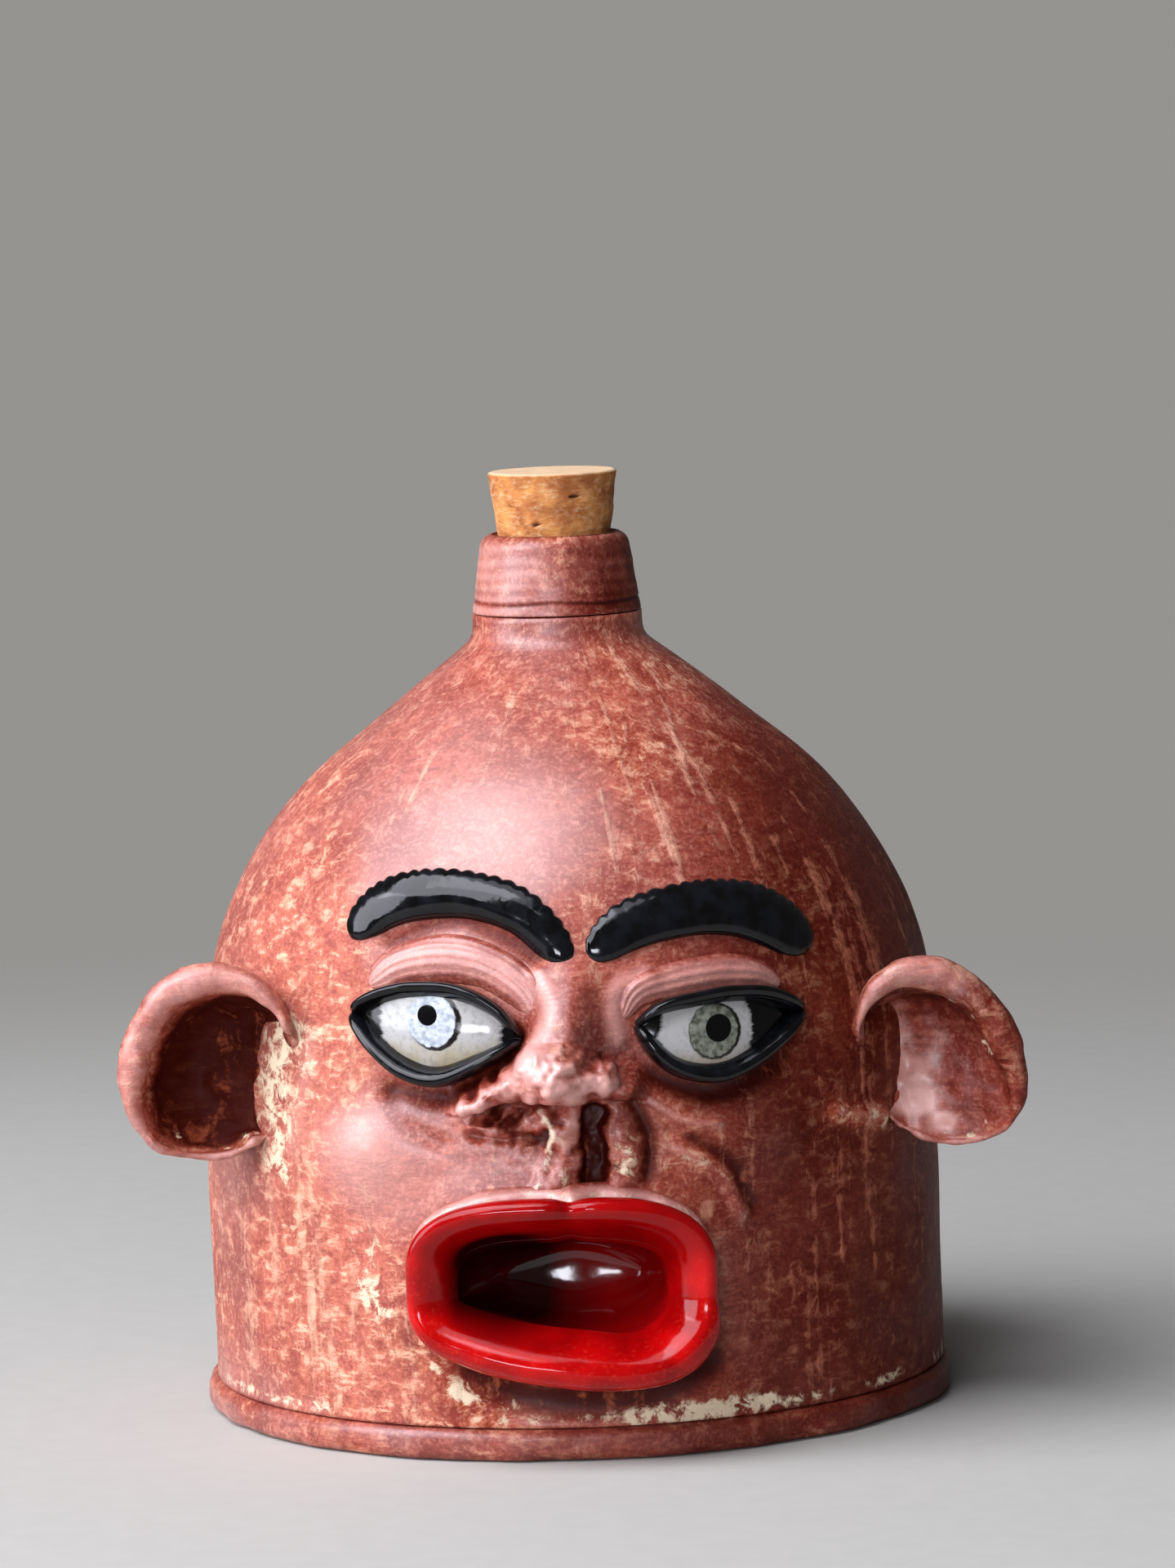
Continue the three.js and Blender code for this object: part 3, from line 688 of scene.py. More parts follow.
# %% The coil round the lips
lip_way = np.roll(lip_line, -1, axis=0) - np.roll(lip_line, 1, axis=0)
lip_inward = np.column_stack([-lip_way[:, 1], lip_way[:, 0]])
lip_inward = lip_inward / np.linalg.norm(lip_way, axis=1, keepdims=True)
coil_line = lip_line - lip_inward * (lip_width + 0.8 - 0.5 * lower_share)[:, None]
coil_place = on_wall(coil_line[:, 0], coil_line[:, 1], 0)
coil_width = 1.7 + 0.5 * hills(coil_place, 5, 63) - 0.4 * lower_share + 0.7 * notch
coil_rise = 2.9 + 1.2 * hills(coil_place, 4, 64) - 2.5 * lower_share + 1.8 * notch
# The tone paints the coil's upper crest pale as a highlight and the rest a little darker; cream slip
# lies on that crest too.
coil = roll("lip_coil_clay", coil_line, coil_width, np.maximum(coil_rise, 0.3), closed=True, blunt=1.1,
            tone=lambda arc, z, crown: 1.1 * crown * ramp(z, 20, 32) - 0.3,
            slip=lambda arc, z, crown: 0.5 * crown * ramp(z, 22, 34))

# %% The cup behind the lips
cup_depth, cup_wall, cup_tilt = 16.0, 2.0, 0.175
cup_mouth = 3.2
cup_rows = 60
cup_steps = 1 - np.linspace(1, 0, cup_rows) ** 2.2
cup_lift = cup_mouth - (cup_depth + cup_mouth) * np.sin(cup_steps * np.pi / 2)
cup_size = np.cos(cup_steps * np.pi / 2) ** 0.6
cup_lift = np.append((cup_lift - cup_wall)[-2:0:-1], cup_lift[:-1])
cup_size = np.append(cup_size[-2:0:-1] * 1.05, cup_size[:-1])[:, None]
cup_deep = ramp(-cup_lift, 0, 14)[:, None]
cup_ring = lip_line + lip_inward * (lip_width - 0.9)[:, None]
cup_middle = np.array([mouth_arc + 2.0, mouth_z])
cup_reach = np.abs(cup_ring - cup_middle).max(axis=0)
cup_way = (cup_ring - cup_middle) / cup_reach
cup_oval = cup_middle + cup_reach * cup_way / np.linalg.norm(cup_way, axis=1, keepdims=True)
cup_arc, cup_z = (
    middle + cup_size * (ring + cup_deep * (oval - ring) - middle)
    for middle, ring, oval in zip(cup_middle, cup_ring.T, cup_oval.T))
cup_grid = on_wall(cup_arc, cup_z, cup_lift[:, None] - cup_tilt * cup_deep * (cup_z - cup_middle[1]))
# The cup's crest mark paints shade: darker the deeper it goes and darkest at the left, less dark low on
# the right, where light falls in.
cup_left_shade = ramp(mouth_arc + 9 - cup_arc, 0, 28)
cup_right_low_light = ramp(cup_arc - mouth_arc, 2, 14) * ramp(mouth_z - cup_z, -2, 6)
cup_tips = [on_wall(*cup_middle, depth) for depth in (-cup_depth - cup_wall, -cup_depth)]
cup = surface("mouth_cup_glaze", cup_grid, first_tip=cup_tips[0], last_tip=cup_tips[1],
              crest=cup_deep * (0.7 * cup_right_low_light - 0.9) - 1.7 * cup_left_shade)


# %% [markdown]
# ## The nose
# The nose is a lump pinched into a bridge, a flat ball of a tip and two wings, with lumps, a nostril
# and a deep gouge pushed in below it. Metaballs could melt such forms together, but give no hold on
# the cuts. So it is one height over the skin on its own fine grid. Its border dips just under the
# skin, so the clay runs on without a seam, and from there a skirt goes down to a plain back.

# %% The nose's forms
tip_arc, tip_z = -3.2, 69.8
squareness = 2.6
gouge_line = [(3.7, 61.6), (3.2, 56.0), (3.5, 51.6)]
gouge_depth = 3.3
nose_lumps = [
    ([(-18.0, 60.8), (-12.2, 59.9)], 1.5, 2.4),
    ([(-5.4, 63.0), (-4.2, 59.2), (-4.9, 55.0), (-6.6, 49.4)], 1.2, 1.0),
    ([(-2.2, 61.0), (-1.9, 55.0), (-2.8, 50.5)], 2.6, 2.2),
    ([(8.6, 58.4), (9.8, 55.2), (9.0, 52.4), (7.4, 49.8)], 2.8, 1.7),
]
nose_cuts = [
    ([(-13.6, 63.2), (-9.2, 63.4), (-11.2, 61.6)], 1.2, 3.6),
    ([(-18.6, 58.8), (-13.0, 58.0), (-7.6, 58.2)], 0.8, 1.3),
]


def dome(arc, z, middle, half_width, half_height, height):
    """Half a squared ellipsoid: height * sqrt(1 - |x|^2.6 - |y|^2.6), and 0 outside it."""
    across = np.abs((arc - middle[0]) / half_width) ** squareness
    upright = np.abs((z - middle[1]) / half_height) ** squareness
    return height * np.sqrt(np.clip(1 - (across + upright), 0, 1))


def joined(*heights):
    """Soft maximum of heights of 0 or more: the fourth root of the sum of their fourth powers."""
    return sum(height ** 4 for height in heights) ** 0.25


def gouge(arc, z):
    """1 in the slot that a tool pushed in under the nose, with steep ragged sides, 0 outside it."""
    place = on_wall(arc, z, 0)
    ragged = 0.16 * hills(place, 2.6, 71) + 0.1 * hills(place, 1.2, 72)
    return ramp(stroke(arc, z, gouge_line, 2.8) + ragged, 0.25, 0.7)


def nose_height(arc, z):
    """Bridge, tip, wings and nodule joined softly, cut off below, then lumps, nostril and gouge."""
    ridge_arc = np.interp(z, [68, 77, 86, 94], [-3.0, -0.9, -0.2, 0.2])
    ridge_width = np.interp(z, [66, 78, 90], [6.8, 5.2, 4.6])
    ridge = np.interp(z, [64, 71, 78, 82, 86, 90], [9.8, 10.0, 7.6, 5.2, 2.2, 0])
    height = joined(
        ridge * np.exp(-(np.abs(arc - ridge_arc) / ridge_width) ** 2.2),
        dome(arc, z, (tip_arc, tip_z), 7.4, 5.6, 12.0),
        7.0 * stroke(arc, z, [(-6.0, 70.0), (-12.0, 67.6), (-18.0, 64.8)], 3.6),
        dome(arc, z, (4.6, 69.2), 3.4, 3.2, 9.0),
        6.4 * stroke(arc, z, [(3.0, 68.4), (9.4, 66.2)], 2.8))
    under = np.interp(arc, [-20, -14, -8, 2, 10], [62.6, 64.2, 65.2, 65.0, 64.6])
    height = height * ramp(z, under - 0.6, under + 0.4)
    cuts = worked(arc, z, nose_cuts) + gouge_depth * gouge(arc, z)
    return height + worked(arc, z, nose_lumps) - cuts


def nose_slip(arc, z):
    """Cream slip in the grooves under the nose: a line, a dab and flecks on the lumps."""
    place = on_wall(arc, z, 0)
    line = stroke(arc, z, [(-5.5, 62.8), (-4.1, 59.3), (-4.8, 55.0), (-6.6, 49.2)], 1.2)
    dab = stroke(arc, z, [(9.0, 56.8), (9.8, 54.8), (8.8, 52.6)], 2.3)
    flecks = 0.6 * stroke(arc, z, [(-2.4, 57.6), (-1.8, 51.0)], 2.2)
    ragged = 0.45 * hills(place, 1.9, 76) + 0.3 * hills(place, 0.9, 77)
    return np.clip(np.max([line, dab, flecks], axis=0) * (0.85 + ragged), 0, 1.2)


tip_height = float(nose_height(np.array(tip_arc), np.array(tip_z)))
print("tip of the nose over the skin, mm:", round(tip_height, 1))

# %% The nose
nose_columns, nose_rows = 172, 190
border_dip, skirt_depth, seam_proud = 0.5, 3.7, 0.03
pinched_lines = [
    ([(4.0, 69.0), (-4.0, 70.0), (-15.0, 65.0), (-10.0, 61.0), (0.0, 58.0)], 5.5, 1.0),
    ([(0.0, 60.0), (-3.0, 52.0), (8.0, 55.0)], 4.5, 0.7),
]
nose_patch = np.meshgrid(np.linspace(nose_left, nose_right, nose_columns),
                         np.linspace(nose_low, nose_high, nose_rows))
nose_arc, nose_z = (np.pad(sheet, 1, mode="reflect", reflect_type="odd") for sheet in nose_patch)
skirt = np.pad(np.zeros_like(nose_patch[0]), 1, constant_values=1.0)
nose_place = on_wall(nose_arc, nose_z, 0)
pinched = np.max([most * stroke(nose_arc, nose_z, line, width)
                  for line, width, most in pinched_lines], axis=0)
nose_grain = 0.6 * hills(nose_place, 3.4, 73) + 0.55 * hills(nose_place, 1.7, 74)
nose_grain = nose_grain + 0.35 * hills(nose_place, 0.9, 78)
rough = 0.04 * hills(nose_place, 4.2, 75) + pinched * nose_grain
raised = nose_height(nose_arc, nose_z) * nose_bed(nose_arc, nose_z, 0.8)
border = nose_bed(nose_arc, nose_z, 0.0)
nose_lift = skin(nose_arc, nose_z) + raised + seam_proud
nose_lift = nose_lift - border_dip * (1 - border) - skirt_depth * skirt
# The pinched clay gets random grain and is painted paler as a highlight, the more so the higher it
# stands; the gouge is painted dark as shade.
pinched_grain_and_highlight = (0.15 + 0.08 * (raised - 3) + 1.5 * nose_grain) * pinched
nose_tone = clay_light_and_shade(nose_arc, nose_z) + pinched_grain_and_highlight - 2 * gouge(nose_arc, nose_z)
nose = surface(
    "nose_clay", pushed(on_wall(nose_arc, nose_z, nose_lift), rough * border), around=False,
    back=on_wall(-2.0, 68.0, -4.4), tone=np.clip(nose_tone, -1, 1),
    slip=nose_slip(nose_arc, nose_z), scrape=scraped(nose_arc, nose_z))


# %% [markdown]
# ## The eyes
# Each eye is a white ball let into the wall, gripped by two black lids that meet in long corners. A
# fat fold hangs over it and a black brow lies above. The two sides differ: the left eye is set aslant
# and wide open, the right one is half shut. A whole sphere would lie mostly hidden, so the ball is
# only the part between the lids. What the glaze painter needs, the distance from iris and pupil, goes
# with the ball, because a picture of an eye would need to be wrapped round it.

# %% Lids
lids = {
    "left_upper_lid": ([(-41.8, 80.1), (-35.0, 82.6), (-28.0, 83.9), (-20.0, 83.6), (-13.2, 80.7),
                        (-8.7, 75.9)], 1.05),
    "left_lower_lid": ([(-41.8, 80.1), (-36.0, 75.0), (-30.0, 71.0), (-23.9, 69.6), (-16.6, 72.0),
                        (-8.7, 75.9)], 1.45),
    "right_upper_lid": ([(11.7, 77.6), (16.0, 80.2), (22.0, 81.0), (29.0, 81.4), (36.5, 80.6),
                         (45.0, 77.6)], 1.1),
    "right_lower_lid": ([(11.7, 77.6), (15.4, 72.6), (20.0, 69.6), (26.8, 68.9), (34.6, 71.8),
                         (45.0, 77.6)], 1.45),
}
lid_places, lid_crest, lid_spare, lid_lean = 110, 4.3, 0.45, 0.45


def lid(name, points, half_width):
    """A roll from corner to corner, its crest away from the ball, drawn out thin at both ends."""
    route = smooth_line(points, lid_places)
    place = on_wall(route[:, 0], route[:, 1], 0)
    width = half_width * rounded_ends(lid_places, 2.6) * (1 + 0.1 * hills(place, 5, 81))
    crest = lid_crest - skin(route[:, 0], route[:, 1])
    rise = np.maximum(crest * rounded_ends(lid_places, 6.0) + 0.25 * hills(place, 4, 82), 0.3)
    lean = (-lid_lean if "upper" in name else lid_lean) * rounded_ends(lid_places, 2.0) ** 2
    return roll(f"{name}_glaze", route, width + lid_spare, rise, blunt=0.7, lean=lean, sides=36)


lid_pieces = {name: lid(name, *shape) for name, shape in lids.items()}

# %% Eyeballs
ball_half_width, ball_half_height, ball_rise, ball_sunk, ball_back = 18.0, 11.4, 5.2, 3.0, -6.0
iris_radius, limbus_radius = 4.5, 4.9
white_half_height = 9.5
balls = {
    "left": {"middle": (-24.6, 78.8), "slant": -8.0, "iris": (-24.6, 79.0), "limbus": (-24.0, 78.8),
             "pupil": (-25.2, 79.9), "pupil_radius": 1.8, "white": (-34.6, -12.0)},
    "right": {"middle": (26.2, 75.8), "slant": 0.0, "iris": (25.2, 75.7), "limbus": (25.5, 75.6),
              "pupil": (26.1, 76.1), "pupil_radius": 2.4, "white": (15.6, 32.6)},
}


def eyeball(side, middle, slant, iris, limbus, pupil, pupil_radius, white):
    """Part of an ellipsoid, out to the middle of the lids.

    The marks are distances from iris, ring and pupil over each radius, how far black glaze ran in
    from the lids past the ends of the white, together with painted shade on the white along the lids,
    and how low a point lies."""
    lower, upper = (smooth_line(lids[f"{side}_{row}_lid"][0], 64) for row in ("lower", "upper"))
    outline = np.vstack([lower, upper[-2:0:-1]])
    share = np.linspace(1, 0.02, 60)[:, None] ** 0.8
    arc, z = (middle[k] + share * (outline[:, k] - middle[k]) for k in (0, 1))
    lean = math.radians(slant)
    along = (arc - middle[0]) * math.cos(lean) + (z - middle[1]) * math.sin(lean)
    up = (z - middle[1]) * math.cos(lean) - (arc - middle[0]) * math.sin(lean)
    round_off = np.clip(1 - (along / ball_half_width) ** 2 - (up / ball_half_height) ** 2, 0, 1)
    grid = on_wall(arc, z, ball_rise * np.sqrt(round_off) - ball_sunk)
    rings = {"iris": (iris, iris_radius), "limbus": (limbus, limbus_radius),
             "pupil": (pupil, pupil_radius)}
    away = {name: np.hypot(arc - place[0], z - place[1]) / radius
            for name, (place, radius) in rings.items()}
    field = (2 * arc - white[0] - white[1]) / (white[1] - white[0])
    black_run_and_lid_shade = ramp(np.hypot(field, (z - middle[1]) / white_half_height), 0.85, 1.15)
    # Next to the lids the black mark also paints shade on the white, under their edges.
    black_run_and_lid_shade = np.maximum(black_run_and_lid_shade, 0.45 * ramp(share, 0.78, 1.0))
    return surface(f"{side}_eyeball_glaze", grid, first_tip=on_wall(*middle, ball_back),
                   last_tip=on_wall(*middle, ball_rise - ball_sunk), black=black_run_and_lid_shade,
                   lower=ramp(middle[1] - z, 0, 7), **away)


eyeballs = {side: eyeball(side, **ball) for side, ball in balls.items()}

# %% Folds
folds = {
    "left_lid_fold": ([(-38.5, 85.0), (-31.0, 88.8), (-22.0, 90.0), (-14.6, 88.6), (-8.6, 84.6),
                       (-5.6, 79.0)], 4.2, 2.0),
    "right_lid_fold": ([(9.4, 79.0), (12.6, 83.2), (20.0, 85.0), (28.0, 85.6), (35.0, 84.8),
                        (40.6, 82.4)], 3.3, 1.8),
}
comb_pitch, comb_depth = 1.5, 0.18


def fold(name, points, half_width, rise):
    """A pat of clay with a bell-shaped section, combed along by the stick that pressed it."""
    count, sides = 120, 56
    route = smooth_line(points, count)
    place = on_wall(route[:, 0], route[:, 1], 0)
    share = rounded_ends(count, 3.0)
    phi = np.linspace(0, 2 * np.pi, sides, endpoint=False)
    teeth = np.sin(2 * np.pi * half_width * np.cos(phi) / comb_pitch)
    combed = comb_depth * teeth * (np.sin(phi) > 0.25)
    height = rise * share[:, None] * (1 + 0.2 * hills(place, 6, 84)[:, None]) + share[:, None] * combed
    width = half_width * share * (1 + 0.08 * hills(place, 7, 83))
    # The tone paints the crest paler as if lit and the flanks darker as shade.
    return roll(f"{name}_clay", route, width, height, blunt=1.5, sunk=0.6, sides=sides,
                tone=lambda arc, z, crown: 0.9 * crown - 0.3, slip=0.0)


fold_pieces = {name: fold(name, *shape) for name, shape in folds.items()}

# %% Brows
brows = {
    "left_brow": ([(-42.6, 93.4), (-34.0, 98.4), (-26.0, 100.4), (-17.0, 100.4), (-8.0, 97.4),
                   (0.4, 89.0)], 3.9),
    "right_brow": ([(3.4, 89.8), (11.0, 94.6), (20.0, 96.5), (28.0, 96.5), (36.0, 94.6),
                    (48.0, 88.4)], 4.5),
}
nick_pitch, nick_depth, brow_rise = 2.3, 0.55, 2.2


def brow(name, points, half_width):
    """A flattened roll, nicked along its upper edge at an even pitch; it rides over the bridge."""
    count, sides = 170, 44
    route = smooth_line(points, count)
    place = on_wall(route[:, 0], route[:, 1], 0)
    along = run_length(route) + 0.8 * hills(place, 5, 85)
    nick = np.abs(np.sin(np.pi * along / nick_pitch)) - 0.5
    upper_edge = np.clip(np.cos(np.linspace(0, 2 * np.pi, sides, endpoint=False)), 0, 1) ** 2
    share = rounded_ends(count, 5.0)
    width = half_width * share[:, None] * (1 + 0.05 * hills(place, 8, 86)[:, None])
    width = width + nick_depth * (nick * share)[:, None] * upper_edge
    bridge = 0.7 * nose_height(route[:, 0], route[:, 1])
    rise = share * (brow_rise + 0.25 * hills(place, 7, 87) + bridge)
    return roll(f"{name}_glaze", route, width, rise, blunt=0.55, sides=sides)


brow_pieces = {name: brow(name, *shape) for name, shape in brows.items()}


# %% [markdown]
# ## The ears
# An ear is a pinched bowl set against the side of the head, its rim rolled fat at the top and outside
# and thinner towards the lobe. A dished plate with a Solidify modifier would have one thickness all
# over. So the grid runs from the floor of the bowl up its wall, over the rim and round the back, and
# inside and outside are one skin of real thickness.

# %% The bowl of an ear
ear_height, ear_back = 38.0, 3.5
ear_columns, bowl_rows, rim_rows, back_rows = 200, 34, 20, 24
thin_rim, rim_gain = 1.3, 4.9
let_in = 9.0


def ear_bowl(side, width, cup, steep, slope):
    """An ear lying flat, as across, up and depth, and the way out from its middle for each column.

    Its outline is an ellipse. The first rows climb the bowl. Its floor is `cup` mm deep and tilts by
    `slope`, and the more `steep` its wall is, the flatter the floor. The next rows go over the rim on
    a half circle, and the last close the back. Low on the head's side the rim is let into the wall,
    so that the floor runs on to the head."""
    t = np.linspace(0, 2 * np.pi, ear_columns, endpoint=False)
    across, up = np.cos(t), -side * np.sin(t)
    reach = 1 / np.sqrt((across / (width / 2)) ** 2 + (up / (ear_height / 2)) ** 2)
    fat = thin_rim + rim_gain * ramp(across + 0.4 * up, -0.35, 0.8)
    uneven = hills(20 * np.stack([across, up, 0 * up], axis=-1), 4.5, 98)
    back_set = let_in * ramp(-across - 0.5 * up, 0.25, 0.85) * (1 + 0.3 * uneven)
    bowl = np.linspace(0.03, 1, bowl_rows)[:, None]
    over = np.linspace(np.pi, 0, rim_rows)[1:, None]
    behind = np.linspace(0, 1, back_rows)[1:-1, None]
    lean = slope * (across - up) * (reach - fat) * bowl * (1 - bowl ** steep)
    radius = np.vstack([(reach - fat) * bowl, reach - fat / 2 + fat / 2 * np.cos(over),
                        reach * np.cos(behind * np.pi / 2) ** 0.7])
    depth = np.vstack([-cup + (cup - back_set) * bowl ** steep + lean,
                       fat / 2 * np.sin(over) - back_set,
                       -back_set - (cup + ear_back - back_set) * np.sin(behind * np.pi / 2)])
    return np.stack([radius * across, radius * up, depth], axis=-1), across, up


# %% The ears
ears = {
    "left": {"side": -1, "front": (-66.0, -45.5, 70.0), "turn": 16, "tilt": 24, "width": 32.0,
             "cup": 11.5, "steep": 5.0, "slope": 0.0, "floor_shade": -1.3, "top_shade": 0.0,
             "patch_highlight": 0.0, "rim_shade": 0.0, "bowl_scrape": 0.6},
    "right": {"side": 1, "front": (66.6, -45.5, 67.6), "turn": 8, "tilt": 30, "width": 29.0,
              "cup": 11.0, "steep": 4.0, "slope": 0.4, "floor_shade": -0.3, "top_shade": -0.8,
              "patch_highlight": 1.3, "rim_shade": -0.9, "bowl_scrape": -0.4},
}
fleck_row, outer_row = 31, 43


def ear(name, side, front, turn, tilt, width, cup, steep, slope,
        floor_shade, top_shade, patch_highlight, rim_shade, bowl_scrape):
    """Stand the bowl against the head, turned and tilted in degrees, and push it about with lumps.

    In the bowl, the floor is painted darker as shade, the top adds more painted shade, and a blotchy
    patch low on the head's side is painted pale as a highlight. On the rim the crest is painted paler
    as a highlight and the outer side darker as shade, and `bowl_scrape` roughens the bowl."""
    flat, across, up = ear_bowl(side, width, cup, steep, slope)
    ear_turn, ear_tilt = math.radians(turn), math.radians(tilt)
    out = np.array([side * math.cos(ear_turn), math.sin(ear_turn), 0])
    face = np.array([side * math.sin(ear_turn), -math.cos(ear_turn), 0])
    top = math.cos(ear_tilt) * np.array([0, 0, 1]) - math.sin(ear_tilt) * out
    wide = math.cos(ear_tilt) * out + math.sin(ear_tilt) * np.array([0, 0, 1])
    wobble = 0.8 * hills(flat + 200 * side, 11, 91)
    grid = np.array(front) + flat[..., :1] * wide + flat[..., 1:2] * top
    grid = grid + (flat[..., 2:] + wobble[..., None]) * face
    level = (flat[..., 0] * math.sin(ear_tilt) + flat[..., 1] * math.cos(ear_tilt)) / (ear_height / 2)
    outward = (flat[..., 0] * math.cos(ear_tilt) - flat[..., 1] * math.sin(ear_tilt)) / (width / 2)
    row = np.arange(len(flat))[:, None]
    in_bowl = ramp(bowl_rows - row, 0, 5)
    torn = ramp(-outward, 0.15, 0.45) * ramp(0.5 - level, 0.0, 0.4)
    lumps = 0.4 * hills(grid, 5, 92) + 0.18 * hills(grid, 2.1, 95) + 1.3 * torn * hills(grid, 2.8, 97)
    lumps = lumps + 0.5 * in_bowl * hills(grid * [1, 1, 1.6], 3.4, 90)
    grid = pushed(grid, lumps)
    ragged = 0.6 * hills(grid, 3.0, 93) + 0.5 * hills(grid, 1.3, 94)
    flecks = ramp(ragged * np.exp(-((row - fleck_row) / 5) ** 2), 0.36, 0.5)
    blotch = 0.9 * hills(grid, 4.5, 99)
    patch = ramp(0.35 - outward + 0.5 * blotch, 0, 0.6) * ramp(0.5 - level + 0.5 * blotch, 0, 0.6)
    # Painted light and shade: floor and top darker as shade, the patch pale as a highlight, the rim's
    # crest paler as a highlight and its outer side darker as shade.
    in_tone = floor_shade + top_shade * ramp(level, 0.2, 0.6) + patch_highlight * patch * (1 + blotch)
    outer = 0.5 * np.exp(-((row - outer_row) / 9) ** 2)
    out_tone = outer + rim_shade * ramp(across - 0.4 * up, 0.3, 0.9)
    tone = out_tone * (1 - in_bowl) + in_tone * in_bowl + 0.3 * ragged
    scrape = 0.3 + 0.3 * hills(grid, 7, 96) + bowl_scrape * in_bowl
    middles = [np.array(front) + depth * face for depth in (-cup, -cup - ear_back)]
    return surface(name, grid, first_tip=middles[0], last_tip=middles[1], tone=tone,
                   slip=0.7 * flecks, scrape=np.clip(scrape, 0, 1))


ear_pieces = {f"{side}_ear": ear(f"{side}_ear_clay", **shape) for side, shape in ears.items()}


# %% [markdown]
# ## Finishes
# A finish is a small tree of nodes. It could be drawn by hand in the shader editor, but written down
# it can be read from top to bottom. One helper adds a node, sets what it needs and links it. Another
# turns the colours, written as on a paint chart, into the linear values that the renderer works with.
# A third lays coats of colour over each other, which is how all the finishes here are built up.

# %% The node helper
def paint(hex_colour):
    """sRGB hex to linear RGBA: c / 12.92, or ((c + 0.055) / 1.055) ^ 2.4 above 0.04045."""
    channels = [int(hex_colour[k:k + 2], 16) / 255 for k in (1, 3, 5)]
    return [c / 12.92 if c <= 0.04045 else ((c + 0.055) / 1.055) ** 2.4 for c in channels] + [1]


def wire(tree, target, inputs):
    """Give each input of a node its value, or link it to the socket that stands in its place."""
    for key, value in inputs.items():
        if isinstance(value, bpy.types.NodeSocket):
            tree.links.new(value, target.inputs[key])
        else:
            target.inputs[key].default_value = value


def node(tree, kind, inputs, out=0, **settings):
    """Add a node of a kind, set its properties, wire its inputs and give back one of its outputs."""
    added = tree.nodes.new("ShaderNode" + kind)
    for name, value in settings.items():
        setattr(added, name, value)
    wire(tree, added, inputs)
    return added.outputs[out]


def new_finish(name):
    """A material with its tree, which starts from the place of each point in its object."""
    finish = bpy.data.materials.new(name)
    finish.use_nodes = True
    tree = finish.node_tree
    return finish, tree, node(tree, "TexCoord", {}, out="Object")


# %% Coats of colour
# A Mix node for colours has these sockets at these numbers.
share_in, base_in, coat_in, mixed_out = 0, 6, 7, 2


def coats(tree, base, rows):
    """Lay colours over a base in turn.

    A row holds a pattern, its value where the coat is clear and where it is full, the share of the
    base that a full coat hides, and the colour, as hex or as a socket. A mark may follow, which the
    share is then multiplied by."""
    for pattern, clear, full, most, colour, *mark in rows:
        share = node(tree, "MapRange", {"Value": pattern, "From Min": clear, "From Max": full,
                                        "To Max": most})
        if mark:
            share = node(tree, "Math", {0: share, 1: mark[0]}, operation="MULTIPLY")
        colour = paint(colour) if isinstance(colour, str) else colour
        base = node(tree, "Mix", {share_in: share, base_in: base, coat_in: colour}, out=mixed_out,
                    data_type="RGBA")
    return base


print("brick red in linear light:", [round(c, 3) for c in paint("#ae5442")])


# %% [markdown]
# ## Redware
# Redware is a red earthenware, fired low and left unglazed here, then rubbed and waxed. It shows a
# mottled brick red, pale dry scratches where a tool was drawn up the wall, and cream slip where some
# was left. Light and shade are painted on it too: pale on ridges, on the lit left side and in two
# sheen spots, dark in the creases, under the lips and on the shaded right side. Its sheen is satin. A
# picture could cover only the side it was taken from, so noise in space makes the patterns. The
# scratches run up the wall, so theirs is drawn out along the height and wrapped round the axis.

# %% Patterns of the clay
def clay_patterns(tree, place):
    """Five noises: streaks up the wall, combing round it, clouds, patches and grain.

    The first two read the direction from the axis times a length, plus the height times a share. A
    row holds where a noise is read, its size in mm, its detail, roughness and distortion."""
    flat = node(tree, "VectorMath", {0: place, 1: (1, 1, 0)}, operation="MULTIPLY")
    turn = node(tree, "VectorMath", {0: flat}, operation="NORMALIZE")
    drawn = node(tree, "VectorMath", {0: place, 1: (0, 0, 0.1)}, operation="MULTIPLY")
    upright = node(tree, "VectorMath", {0: turn, 1: (wall_radius * mm,) * 3, 2: drawn},
                   operation="MULTIPLY_ADD")
    rise = node(tree, "VectorMath", {0: place, 1: (0, 0, 1)}, operation="MULTIPLY")
    level = node(tree, "VectorMath", {0: turn, 1: (0.3 * wall_radius * mm,) * 3, 2: rise},
                 operation="MULTIPLY_ADD")
    rows = (
        (upright, 4.2, 3, 0.6, 0),
        (level, 1.4, 3, 0.65, 0.6),
        (place, 17, 4, 0.6, 0),
        (place, 3.4, 6, 0.74, 0.5),
        (place, 0.8, 3, 0.7, 0),
    )
    return [node(tree, "TexNoise", {"Vector": where, "Scale": 1 / (size * mm), "Detail": detail,
                                    "Roughness": roughness, "Distortion": swirl})
            for where, size, detail, roughness, swirl in rows]


